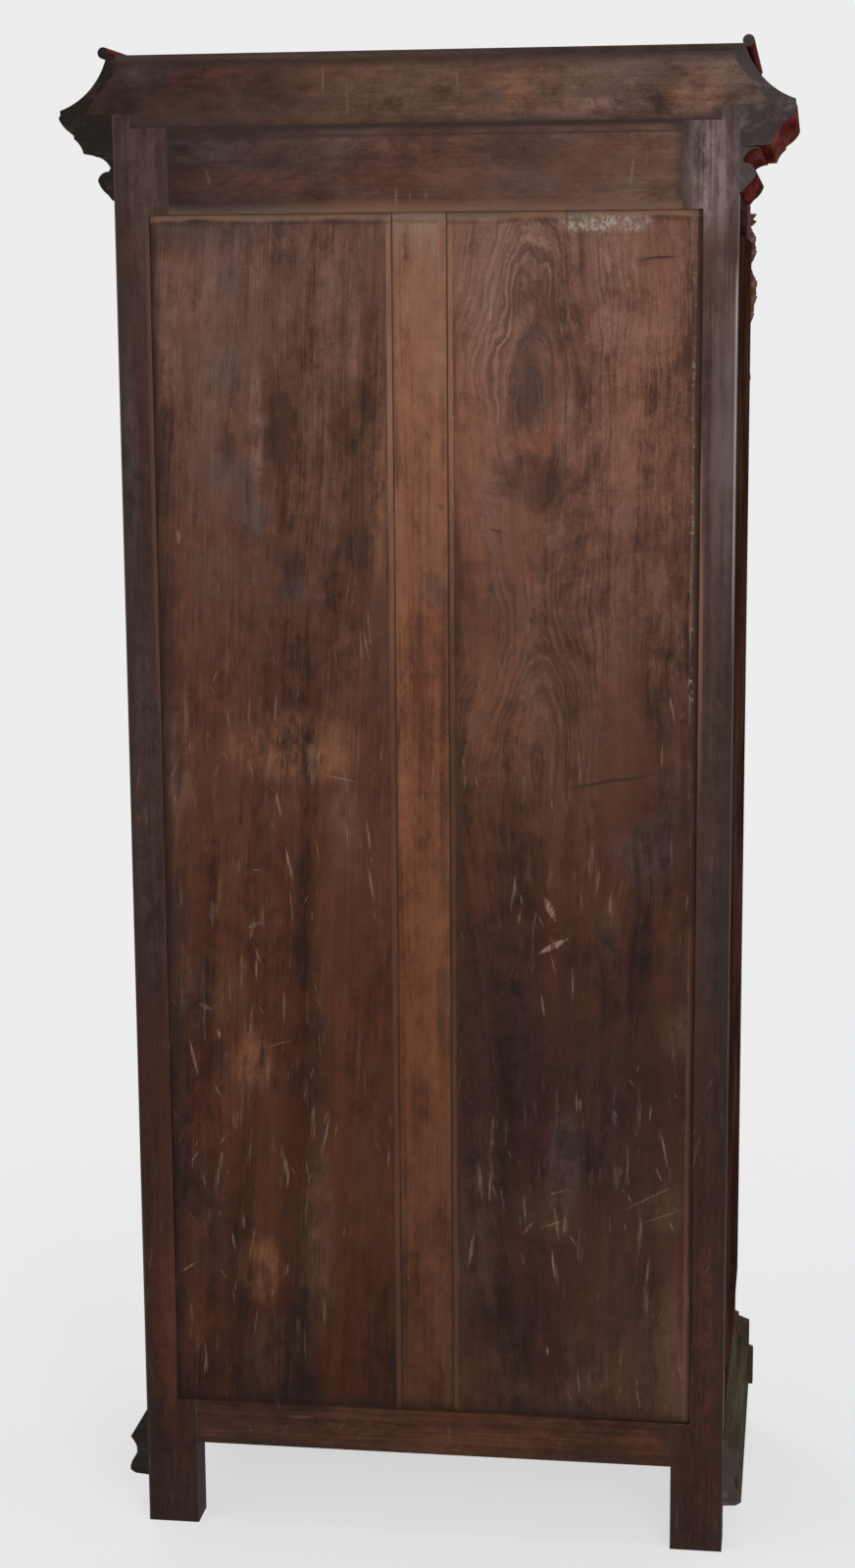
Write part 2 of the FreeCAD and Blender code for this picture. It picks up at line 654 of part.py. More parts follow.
def make_side_frame(side):
    """Top and bottom rails of a side and the panel in their grooves."""
    word = SIDE_NAMES[side]
    run = (POST_BACK, REAR_POST_FRONT)
    levels = {
        "side_top_rail": (
            SIDE_PANEL_HEAD, CARCASS_TOP, SIDE_PANEL_HEAD, f"{SIDE_PANEL_HEAD} + side_groove_depth"),
        "side_bottom_rail": (
            RAIL_FOOT, SIDE_PANEL_FOOT, f"{SIDE_PANEL_FOOT} - side_groove_depth", SIDE_PANEL_FOOT),
    }
    for name, (low, high, groove_low, groove_high) in levels.items():
        board = box(f"{name}_board_{word}", (BOARD_INNER, SIDE), run, (low, high), side)
        groove = box(f"{name}_groove_{word}", (PANEL_INNER, PANEL_OUTER), run, (groove_low, groove_high), side)
        node(cut(f"{name}_{word}_body", board, [groove]), f"{name}_{word}")
    tongue = "side_groove_depth - groove_play"
    node(box(f"side_panel_{word}_body", (PANEL_INNER, PANEL_OUTER),
             (f"{POST_BACK} - ({tongue})", f"{REAR_POST_FRONT} + {tongue}"),
             (f"{SIDE_PANEL_FOOT} - ({tongue})", f"{SIDE_PANEL_HEAD} + {tongue}"), side), f"side_panel_{word}")


def bolection_outline(start, direction):
    """Section of the side moulding from its outer edge; it laps the frame and lies on the panel."""
    points = [(f"({SIDE} + {rise} * bolection_rise)", f"({start} {direction} {across} * bolection_width)",
               *(-item for item in bulge)) for across, rise, *bulge in BOLECTION_SHARES]
    seat = [(PANEL_OUTER, f"({start} {direction} bolection_width)"),
            (PANEL_OUTER, f"({start} {direction} bolection_lap)"),
            (SIDE, f"({start} {direction} bolection_lap)")]
    return points + seat


def make_side_moulding(side):
    """Four mitred strips round a side panel."""
    word = SIDE_NAMES[side]
    rear, near = f"({REAR_POST_FRONT} + bolection_lap)", f"({POST_BACK} - bolection_lap)"
    foot, head = f"({SIDE_PANEL_FOOT} - bolection_lap)", f"({SIDE_PANEL_HEAD} + bolection_lap)"
    wide = "(bolection_width + overrun)"
    corners = {"near": (near, "+", foot, head), "rear": (rear, "-", foot, head)}
    strips = []
    for end, (start, direction, low, high) in corners.items():
        strip = new_body(f"bolection_{end}_{word}")
        pad(strip, "XY", flipped(bolection_outline(start, direction), side), low, high)
        far = f"({start} {direction} {wide})"
        past = f"({start} {'-' if direction == '+' else '+'} overrun)"
        pocket_through(strip, "YZ", [
            [(past, f"{low} - overrun"), (far, f"{low} - overrun"), (far, f"{low} + {wide}")],
            [(past, f"{high} + overrun"), (far, f"{high} - {wide}"), (far, f"{high} + overrun")]])
        strips.append(strip)
    for end, level, direction in (("foot", foot, "+"), ("head", head, "-")):
        strip = new_body(f"bolection_{end}_{word}")
        pad(strip, "XZ", flipped(bolection_outline(level, direction), side), near, rear)
        far = f"({level} {direction} {wide})"
        past = f"({level} {'-' if direction == '+' else '+'} overrun)"
        pocket_through(strip, "YZ", [
            [(f"{near} - overrun", past), (f"{near} + {wide}", far), (f"{near} - overrun", far)],
            [(f"{rear} + overrun", past), (f"{rear} + overrun", far), (f"{rear} - {wide}", far)]])
        strips.append(strip)
    node(grouped(f"side_moulding_{word}_strips", strips), f"side_moulding_{word}")


def make_front_rails():
    """Rails above and below the door."""
    spans = {"front_top_rail": (DOOR_HEAD, CARCASS_TOP), "front_bottom_rail": (RAIL_FOOT, DOOR_SILL)}
    depth = (FRONT, f"{FRONT} + front_rail_thickness")
    for name, z_span in spans.items():
        node(box(f"{name}_body", (f"-{POST_INNER}", POST_INNER), depth, z_span), name)


def make_inner_boards():
    """Bottom and top boards of the inside, notched round the four posts."""
    for name, top in (("bottom_board", DOOR_SILL), ("carcass_top", CARCASS_TOP)):
        front = f"({FRONT} + front_rail_thickness)"
        half = [(POST_INNER, front), (POST_INNER, POST_BACK), (BOARD_INNER, POST_BACK),
                (BOARD_INNER, REAR_POST_FRONT), (REAR_POST_INNER, REAR_POST_FRONT),
                (REAR_POST_INNER, BACK_INNER)]
        body = new_body(name)
        pad(body, "XY", symmetric(half), f"{top} - board_thickness", top)
        node(body, name)


def make_front_foot(side):
    """Turned bun foot under a front post."""
    word = SIDE_NAMES[side]
    body = new_body(f"front_foot_{word}")
    turning = body.newObject("PartDesign::Revolution", f"front_foot_{word}_turning")
    turning.Profile = new_sketch(body, "XZ", [profile(FOOT_SHARES, "foot_radius", "foot_height", "0")])
    turning.ReferenceAxis = (turning.Profile[0], ["V_Axis"])
    turning.Angle = 360
    middle = mirrored((f"{SIDE} - foot_inset", f"{SIDE} - foot_inset"), side)[0]
    body.setExpression("Placement.Base.x", bound(middle))
    body.setExpression("Placement.Base.y", bound(f"{FRONT} + foot_inset"))
    node(body, f"front_foot_{word}")


def batten_runs():
    """Y spans of the front and rear battens."""
    return ((POST_BACK, f"({POST_BACK} + batten_width)"),
            (f"({REAR_POST_FRONT} - batten_width)", REAR_POST_FRONT))


def cleat_span(index):
    """Levels of the foot and the head of a notch in the battens, and of the cleat in it."""
    foot = f"({DOOR_SILL} + first_notch_rise + {index} * notch_spacing)"
    return foot, f"({foot} + cleat_height)"


def notches(name, low, high, end, side):
    """Notches up the inward face of a batten."""
    inward = {
        "front": (f"{high} - notch_depth", f"{high} + overrun"),
        "rear": (f"{low} - overrun", f"{low} + notch_depth"),
    }
    across = (f"{BOARD_INNER} - batten_thickness - overrun", f"{BOARD_INNER} + overrun")
    return [box(f"{name}_{index}", across, inward[end], cleat_span(index), side)
            for index in range(NOTCH_COUNT)]


def make_shelf_battens():
    """Four notched battens in the corners of the inside."""
    battens = []
    for side, word in SIDE_NAMES.items():
        for (low, high), end in zip(batten_runs(), ("front", "rear")):
            stick = box(f"batten_stick_{end}_{word}", (f"{BOARD_INNER} - batten_thickness", BOARD_INNER),
                        (low, high), (DOOR_SILL, f"{CARCASS_TOP} - board_thickness"), side)
            spaces = notches(f"notch_{end}_{word}", low, high, end, side)
            battens.append(cut(f"batten_{end}_{word}", stick, spaces))
    node(grouped("shelf_battens_group", battens), "shelf_battens")


def make_shelf_cleats():
    """Two cleats under each shelf, with their ends in the battens' notches."""
    front, rear = batten_runs()
    across = (f"{BOARD_INNER} - cleat_width", BOARD_INNER)
    run = (f"{front[1]} - notch_depth", f"{rear[0]} + notch_depth")
    cleats = [box(f"cleat_{word}_{index}", across, run, cleat_span(index), side)
              for side, word in SIDE_NAMES.items() for index in SHELF_NOTCHES]
    node(grouped("shelf_cleats_group", cleats), "shelf_cleats")


def make_shelves():
    """Three loose shelves, notched round the posts and the battens."""
    front, rear = batten_runs()
    between_posts = f"({POST_INNER} - shelf_play)"
    between_rear_posts = f"({REAR_POST_INNER} - shelf_play)"
    between_battens = f"({BOARD_INNER} - batten_thickness - shelf_play)"
    between_boards = f"({BOARD_INNER} - shelf_play)"
    behind_post, behind_batten = f"({front[0]} + shelf_play)", f"({front[1]} + shelf_play)"
    before_batten, before_post = f"({rear[0]} - shelf_play)", f"({rear[1]} - shelf_play)"
    half = [
        (between_posts, f"({DOOR_BACK} + lock_depth + shelf_setback)"),
        (between_posts, behind_post), (between_battens, behind_post),
        (between_battens, behind_batten), (between_boards, behind_batten),
        (between_boards, before_batten), (between_battens, before_batten),
        (between_battens, before_post), (between_rear_posts, before_post),
        (between_rear_posts, f"({BACK_INNER} - shelf_play)"),
    ]
    for name, index in zip(("shelf_lower", "shelf_middle", "shelf_upper"), SHELF_NOTCHES):
        body = new_body(name)
        foot = cleat_span(index)[1]
        pad(body, "XY", symmetric(half), foot, f"{foot} + shelf_thickness")
        node(body, name)


def door_rebate(name, x_span, z_span, side=RIGHT):
    """Space of the glass rebate in the back of a door member."""
    return box(name, x_span, (GLASS_FRONT, f"{DOOR_BACK} + overrun"), z_span, side)


def door_groove(name, x_span, z_span, side=RIGHT):
    """Space of the panel groove in a door member."""
    front = f"({FRONT} + door_panel_setback)"
    return box(name, x_span, (front, f"{front} + door_panel_thickness"), z_span, side)


def keyhole(name, front, back):
    """Round hole and slot that the key passes through."""
    start = (KEY_AXIS, front, KEY_LEVEL)
    hole = cylinder(f"{name}_round", "key_radius + key_play", f"({back}) - ({front})", start, "y")
    slot = box(f"{name}_slot", around(KEY_AXIS, "key_bit_thickness", "key_play"), (front, back),
               (f"{KEY_LEVEL} - key_bit_reach - key_play", KEY_LEVEL))
    return joined(name, [hole, slot])


def make_door_stiles():
    """Hinge stile on the left and lock stile on the right."""
    leaf_space = (f"{DOOR_EDGE} - leaf_thickness", f"{DOOR_EDGE} + overrun")
    own = {
        LEFT: leaf_recesses("stile_recess", leaf_space),
        RIGHT: [keyhole("stile_keyhole", f"{FRONT} - overrun", f"{DOOR_BACK} + overrun")],
    }
    glass_space = (f"{GLASS_FOOT} - glass_rebate", f"{GLASS_HEAD} + glass_rebate")
    panel_space = (f"{DOOR_PANEL_FOOT} - door_groove_depth", f"{DOOR_PANEL_HEAD} + door_groove_depth")
    for side, name in ((LEFT, "door_hinge_stile"), (RIGHT, "door_lock_stile")):
        bar = box(f"{name}_bar", (DOOR_INNER, DOOR_EDGE), (FRONT, DOOR_BACK), (DOOR_FOOT, DOOR_TOP), side)
        rebate = door_rebate(f"{name}_rebate", (f"{DOOR_INNER} - overrun", f"{DOOR_INNER} + glass_rebate"),
                             glass_space, side)
        groove = door_groove(f"{name}_groove", (f"{DOOR_INNER} - overrun", f"{DOOR_INNER} + door_groove_depth"),
                             panel_space, side)
        node(cut(f"{name}_body", bar, [rebate, groove] + own[side]), name)


def make_door_rails():
    """Top, middle and bottom rails of the door, rebated for the glass and grooved for the panel."""
    run = (f"-{DOOR_INNER}", DOOR_INNER)
    rails = {
        "door_top_rail": (GLASS_HEAD, DOOR_TOP),
        "door_middle_rail": (DOOR_PANEL_HEAD, GLASS_FOOT),
        "door_bottom_rail": (DOOR_FOOT, DOOR_PANEL_FOOT),
    }
    cuts = {
        "door_top_rail": [door_rebate("top_rail_rebate", run, (GLASS_HEAD, f"{GLASS_HEAD} + glass_rebate"))],
        "door_middle_rail": [
            door_rebate("middle_rail_rebate", run, (f"{GLASS_FOOT} - glass_rebate", GLASS_FOOT)),
            door_groove("middle_rail_groove", run,
                        (DOOR_PANEL_HEAD, f"{DOOR_PANEL_HEAD} + door_groove_depth"))],
        "door_bottom_rail": [
            door_groove("bottom_rail_groove", run,
                        (f"{DOOR_PANEL_FOOT} - door_groove_depth", DOOR_PANEL_FOOT))],
    }
    for name, span in rails.items():
        bar = box(f"{name}_bar", run, (FRONT, DOOR_BACK), span)
        node(cut(f"{name}_body", bar, cuts[name]), name)


def make_door_glass():
    """Pane in the door's rebate."""
    out = "glass_rebate - glass_play"
    edge = f"({DOOR_INNER} + {out})"
    node(box("door_glass_body", (f"-{edge}", edge), (GLASS_FRONT, GLASS_BACK),
             (f"{GLASS_FOOT} - ({out})", f"{GLASS_HEAD} + {out}")), "door_glass")


def make_door_beads():
    """Four glazing beads that hold the pane from behind."""
    outer = f"({DOOR_INNER} + glass_rebate)"
    foot, head = f"({GLASS_FOOT} - glass_rebate)", f"({GLASS_HEAD} + glass_rebate)"
    depth = (GLASS_BACK, DOOR_BACK)
    beads = [box(f"bead_{word}", (DOOR_INNER, outer), depth, (foot, head), side)
             for side, word in SIDE_NAMES.items()]
    beads += [box("bead_foot", (f"-{DOOR_INNER}", DOOR_INNER), depth, (foot, GLASS_FOOT)),
              box("bead_head", (f"-{DOOR_INNER}", DOOR_INNER), depth, (GLASS_HEAD, head))]
    node(grouped("door_beads_group", beads), "door_beads")


def make_door_panel():
    """Raised panel below the glass: a thin tongue all round and a sloped field in front."""
    tongue = "(door_groove_depth - groove_play)"
    edge = f"({DOOR_INNER} + {tongue})"
    face = f"({FRONT} + door_panel_setback)"
    low, high = f"({DOOR_PANEL_FOOT} - {tongue})", f"({DOOR_PANEL_HEAD} + {tongue})"
    body = new_body("door_panel")
    pad(body, "XZ", [(f"-{edge}", low), (edge, low), (edge, high), (f"-{edge}", high)], face,
        f"{face} + door_panel_thickness")
    field_edge = f"({DOOR_INNER} - door_field_margin)"
    foot, head = f"({DOOR_PANEL_FOOT} + door_field_margin)", f"({DOOR_PANEL_HEAD} - door_field_margin)"
    field = [(f"-{field_edge}", foot), (field_edge, foot), (field_edge, head), (f"-{field_edge}", head)]
    raised = pad(body, "XZ", field, f"{face} - door_field_rise", face)
    raised.setExpression("TaperAngle", bound("-atan(door_field_slope / door_field_rise)"))
    node(body, "door_panel")


def post_leaf(index, foot):
    """Hinge leaf on the post, with the two end knuckles and the pin."""
    third = "(leaf_height / 3)"
    across = (POST_INNER, f"{POST_INNER} + leaf_thickness")
    axis = (f"-{HINGE_AXIS}", HINGE_FRONT)
    pieces = [
        box(f"post_plate_{index}", across, LEAF_DEPTH, (foot, f"{foot} + leaf_height"), LEFT),
        cylinder(f"hinge_pin_{index}", "hinge_pin_radius", "leaf_height", (*axis, foot)),
    ]
    for end, start in (("low", foot), ("high", f"({foot} + 2 * {third})")):
        tab = box(f"post_tab_{end}_{index}", across, (HINGE_FRONT, FRONT), (start, f"{start} + {third}"), LEFT)
        pieces += [tab, cylinder(f"post_knuckle_{end}_{index}", "knuckle_radius", third, (*axis, start))]
    return joined(f"post_leaf_{index}", pieces)


def door_leaf(index, foot):
    """Hinge leaf on the door, with the middle knuckle and its bore."""
    across = (f"{DOOR_EDGE} - leaf_thickness", DOOR_EDGE)
    axis = (f"-{HINGE_AXIS}", HINGE_FRONT)
    low, high = f"({foot} + leaf_height / 3 + knuckle_play)", f"({foot} + 2 * leaf_height / 3 - knuckle_play)"
    blank = joined(f"door_leaf_blank_{index}", [
        box(f"door_plate_{index}", across, LEAF_DEPTH, (foot, f"{foot} + leaf_height"), LEFT),
        box(f"door_tab_{index}", across, (HINGE_FRONT, FRONT), (low, high), LEFT),
        cylinder(f"door_knuckle_{index}", "knuckle_radius", f"{high} - {low}", (*axis, low))])
    bore = cylinder(f"knuckle_bore_{index}", "hinge_pin_radius + knuckle_play", "leaf_height", (*axis, foot))
    return cut(f"door_leaf_{index}", blank, [bore])


def make_hinges():
    """Three butt hinges, in two halves."""
    for name, leaf in (("hinge_post_leaves", post_leaf), ("hinge_door_leaves", door_leaf)):
        node(grouped(f"{name}_group", [leaf(index, foot) for index, foot in enumerate(hinge_levels())]), name)


def make_lock():
    """Rim lock on the back of the lock stile, with its bolt."""
    inner = f"({DOOR_EDGE} - lock_length)"
    case = box("lock_block", (inner, DOOR_EDGE), (DOOR_BACK, f"{DOOR_BACK} + lock_depth"),
               around("lock_level", "lock_height", "0"))
    depth = around(BOLT_MIDDLE, "bolt_thickness", "bolt_play")
    channel = box("bolt_channel", (f"{inner} + lock_wall", f"{DOOR_EDGE} + overrun"), depth,
                  around(BOLT_LEVEL, "bolt_height", "bolt_play"))
    well = cylinder("key_well", "key_well_radius", "bolt_thickness + 2 * bolt_play",
                    (KEY_AXIS, depth[0], KEY_LEVEL), "y")
    hole = keyhole("case_keyhole", f"{DOOR_BACK} - overrun", BOLT_MIDDLE)
    node(cut("lock_case_body", case, [channel, well, hole]), "lock_case")
    tip = f"({DOOR_EDGE} - bolt_setback)"
    node(box("lock_bolt_body", (f"{tip} - bolt_length", tip), around(BOLT_MIDDLE, "bolt_thickness", "0"),
             around(BOLT_LEVEL, "bolt_height", "0")), "lock_bolt")


def make_key():
    """Key in its hole: stem, collar, ring bow and bit."""
    start = f"({FRONT} - key_stem)"
    tip = f"({BOLT_MIDDLE} + bolt_thickness / 2)"
    stem = cylinder("key_shank", "key_radius", f"{tip} - {start}", (KEY_AXIS, start, KEY_LEVEL), "y")
    collar = cylinder("key_collar", "key_collar_radius", "key_collar_width", (KEY_AXIS, start, KEY_LEVEL), "y")
    bow = doc.addObject("Part::Torus", "key_bow")
    bow.setExpression("Radius1", bound("key_bow_radius"))
    bow.setExpression("Radius2", bound("key_wire_radius"))
    bow.Placement.Rotation = FreeCAD.Rotation(FreeCAD.Vector(0, 1, 0), 90)
    for letter, place in zip("xyz", (KEY_AXIS, f"{start} - key_bow_radius", KEY_LEVEL)):
        bow.setExpression(f"Placement.Base.{letter}", bound(place))
    bit = box("key_bit", around(KEY_AXIS, "key_bit_thickness", "0"), around(BOLT_MIDDLE, "key_bit_length", "0"),
              (f"{KEY_LEVEL} - key_bit_reach", KEY_LEVEL))
    node(joined("key_body", [stem, collar, bow, bit]), "key")


def make_escutcheon():
    """Pointed oval plate round the keyhole, on the face of the lock stile."""
    low, high = around(KEY_LEVEL, "escutcheon_height", "0")
    left, right = around(KEY_AXIS, "escutcheon_width", "0")
    corners = [(KEY_AXIS, low), (right, KEY_LEVEL), (KEY_AXIS, high), (left, KEY_LEVEL)]
    outline = [(*corner, ESCUTCHEON_CURVE_SHARE) for corner in corners]
    body = new_body("escutcheon_plate")
    pad(body, "XZ", outline, f"{FRONT} - escutcheon_thickness", FRONT)
    hole = keyhole("plate_keyhole", f"{FRONT} - overrun", f"{FRONT} + overrun")
    node(cut("escutcheon_body", body, [hole]), "escutcheon")


def make_cabinet():
    """Every sub-part of the cabinet."""
    fill_sheet()
    make_back_rails()
    make_back_muntin()
    make_cornice_back_board()
    make_dust_board()
    make_cornice()
    make_base_mouldings()
    make_front_rails()
    make_inner_boards()
    for side in (LEFT, RIGHT):
        make_rear_post(side)
        make_back_panel(side)
        make_front_post(side)
        make_plinth_collar(side)
        make_console(side)
        make_side_frame(side)
        make_side_moulding(side)
        make_front_foot(side)
    make_shelf_battens()
    make_shelf_cleats()
    make_shelves()
    make_door_stiles()
    make_door_rails()
    make_door_glass()
    make_door_beads()
    make_door_panel()
    make_hinges()
    make_lock()
    make_key()
    make_escutcheon()
    doc.recompute()


def write_parts():
    """Check every object and write each sub-part to its own file."""
    failed = [item.Name for item in doc.Objects if {"Invalid", "Error"} & set(item.State)]
    failed += [part.Label for part in SUBPARTS if part.Shape.isNull() or not part.Shape.isValid()]
    if failed:
        raise RuntimeError(f"failed objects: {failed}")
    os.makedirs("parts", exist_ok=True)
    for part in SUBPARTS:
        part.Shape.exportStep(f"parts/{part.Label}.step")
    print(len(SUBPARTS), "sub-parts")


make_cabinet()
write_parts()
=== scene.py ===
# Looks of an old mahogany display cabinet: its timbers, brass, steel and glass, the carving of its
# two consoles, and a plain pale room with soft light. Metres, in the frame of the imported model.
import math

import bmesh
import bpy
from mathutils import Matrix, Vector


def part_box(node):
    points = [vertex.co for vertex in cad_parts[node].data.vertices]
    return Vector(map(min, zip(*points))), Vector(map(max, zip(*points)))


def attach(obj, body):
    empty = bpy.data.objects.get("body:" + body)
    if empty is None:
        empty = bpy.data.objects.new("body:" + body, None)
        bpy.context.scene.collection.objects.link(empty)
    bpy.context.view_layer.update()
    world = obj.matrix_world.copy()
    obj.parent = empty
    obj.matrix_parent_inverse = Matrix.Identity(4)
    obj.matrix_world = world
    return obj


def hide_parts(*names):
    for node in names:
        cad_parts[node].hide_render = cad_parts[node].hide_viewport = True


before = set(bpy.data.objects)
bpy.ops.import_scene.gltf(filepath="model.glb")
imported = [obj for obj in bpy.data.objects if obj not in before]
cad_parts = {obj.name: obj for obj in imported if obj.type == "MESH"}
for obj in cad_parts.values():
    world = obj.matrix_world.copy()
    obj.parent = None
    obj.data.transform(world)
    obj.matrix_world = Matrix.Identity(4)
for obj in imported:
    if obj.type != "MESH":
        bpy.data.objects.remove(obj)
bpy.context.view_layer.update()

# Sockets of the Mix node that share their names with others
COLOUR_FROM, COLOUR_TO, COLOUR_MIXED = 6, 7, 2
VECTOR_FROM, VECTOR_TO, VECTOR_MIXED = 4, 5, 1


class Wire:
    """Output of a material's node. A sum with it becomes a Math node."""

    def __init__(self, finish, socket):
        self.finish = finish
        self.socket = socket

    def other(self, name):
        """Another output of the same node."""
        return Wire(self.finish, self.socket.node.outputs[name])

    def __add__(self, other):
        return self.finish.sum("ADD", self, other)

    __radd__ = __add__

    def __sub__(self, other):
        return self.finish.sum("SUBTRACT", self, other)

    def __rsub__(self, other):
        return self.finish.sum("SUBTRACT", other, self)

    def __mul__(self, other):
        return self.finish.sum("MULTIPLY", self, other)

    __rmul__ = __mul__

    def __truediv__(self, other):
        return self.finish.sum("DIVIDE", self, other)

    def __rtruediv__(self, other):
        return self.finish.sum("DIVIDE", other, self)

    def __pow__(self, other):
        return self.finish.sum("POWER", self, other)

    def __abs__(self):
        return self.finish.sum("ABSOLUTE", self)


class Finish:
    """The nodes of a material, or of the room's light."""

    def __init__(self, owner):
        owner.use_nodes = True
        self.owner = owner
        self.tree = owner.node_tree
        self.tree.nodes.clear()
        self.colour = None

    def add(self, kind, settings=None, sockets=None, output=0):
        """New node with its settings and its sockets' values or wires; gives one of its outputs."""
        node = self.tree.nodes.new("ShaderNode" + kind)
        for name, setting in (settings or {}).items():
            if name == "stops":
                self.set_stops(node.color_ramp, setting)
            else:
                setattr(node, name, setting)
        for name, value in (sockets or {}).items():
            if isinstance(value, Wire):
                self.tree.links.new(value.socket, node.inputs[name])
            else:
                node.inputs[name].default_value = value
        return Wire(self, node.outputs[output]) if node.outputs else None

    def set_stops(self, ramp, stops):
        """Positions and tones of a colour ramp."""
        for index, (position, tone) in enumerate(stops):
            element = ramp.elements[index] if index < 2 else ramp.elements.new(position)
            element.position = position
            element.color = (*tone, 1)

    def sum(self, operation, *values):
        return self.add("Math", {"operation": operation}, dict(enumerate(values)))

    def step(self, value, low, high):
        """Smooth rise from 0 at low to 1 at high."""
        return self.add("MapRange", {"interpolation_type": "SMOOTHSTEP"},
                        {"Value": value, "From Min": low, "From Max": high})

    def line(self, way, place, half, fade):
        """Thin line across a way: 1 up to half away from a place, 0 beyond fade."""
        return 1 - self.step(abs(way - place), half, fade)

    def place(self):
        """Place on the piece, which is its place in the cabinet at rest."""
        return self.add("TexCoord", output="Object")

    def facing(self, axis):
        """How far the surface faces along an axis."""
        normal = self.add("TexCoord", output="Normal")
        return self.add("SeparateXYZ", None, {0: normal}).other(axis)

    def noise(self, point, scale, detail=2, rough=0.5, shift=(0, 0, 0)):
        """Noise from 0 to 1; scale is its number of features per metre along each axis."""
        point = self.add("VectorMath", {"operation": "MULTIPLY_ADD"}, {0: point, 1: scale, 2: shift})
        return self.add("TexNoise", None, {
            "Vector": point, "Scale": 1, "Detail": detail, "Roughness": rough})

    def tinted(self, factor, first, second, blend="MIX"):
        """Colour between two others."""
        sockets = {0: factor, COLOUR_FROM: first, COLOUR_TO: second}
        for index in (COLOUR_FROM, COLOUR_TO):
            if not isinstance(sockets[index], Wire):
                sockets[index] = (*sockets[index], 1)
        return self.add("Mix", {"data_type": "RGBA", "blend_type": blend}, sockets, COLOUR_MIXED)

    def cover(self, factor, tone):
        """Lay a tone over the colour."""
        self.colour = self.tinted(factor, self.colour, tone)

    def grade(self, way, stops):
        """Multiply the colour by tones that change along a way; each stop is a place and a tone."""
        start, end = stops[0][0], stops[-1][0]
        shares = tuple(((place - start) / (end - start), tone) for place, tone in stops)
        tones = self.add("ValToRGB", {"stops": shares}, {0: (way - start) / (end - start)})
        self.colour = self.tinted(1.0, self.colour, tones, "MULTIPLY")

    def scaled(self, colour, amount):
        """Colour times an amount."""
        return self.add("VectorMath", {"operation": "SCALE"}, {0: colour, "Scale": amount})

    def soft_edges(self, radius):
        """Normal that rounds the arrises, and a mask of where it does."""
        rounded = self.add("Bevel", {"samples": 6}, {"Radius": radius})
        flat = self.add("NewGeometry", output="Normal")
        alike = self.add("VectorMath", {"operation": "DOT_PRODUCT"}, {0: rounded, 1: flat}, "Value")
        return rounded, self.step(1 - alike, 0.01, 0.22)

    def hollows(self, reach):
        """Mask of the piece's own inner corners, from ambient occlusion: where shade falls."""
        shade = self.add(
            "AmbientOcclusion", {"only_local": True, "samples": 6}, {"Distance": reach}, "AO")
        return 1 - self.step(shade, 0.35, 0.95)

    def close(self, shader):
        """Send the shader to the output; gives the finished material."""
        self.add("OutputMaterial", None, {0: shader})
        return self.owner

    def surface(self, roughness, height=None, depth=0.0, normal=None, steady=None):
        """Principled surface of the colour; height times depth is a bump in metres."""
        sockets = {"Base Color": self.colour, "Roughness": roughness}
        if height is not None:
            bump = {"Height": height, "Distance": depth, "Strength": 1}
            if normal is not None:
                bump["Normal"] = normal
            normal = self.add("Bump", None, bump)
        if normal is not None:
            sockets["Normal"] = normal
        sockets.update(steady or {})
        return self.add("BsdfPrincipled", None, sockets)


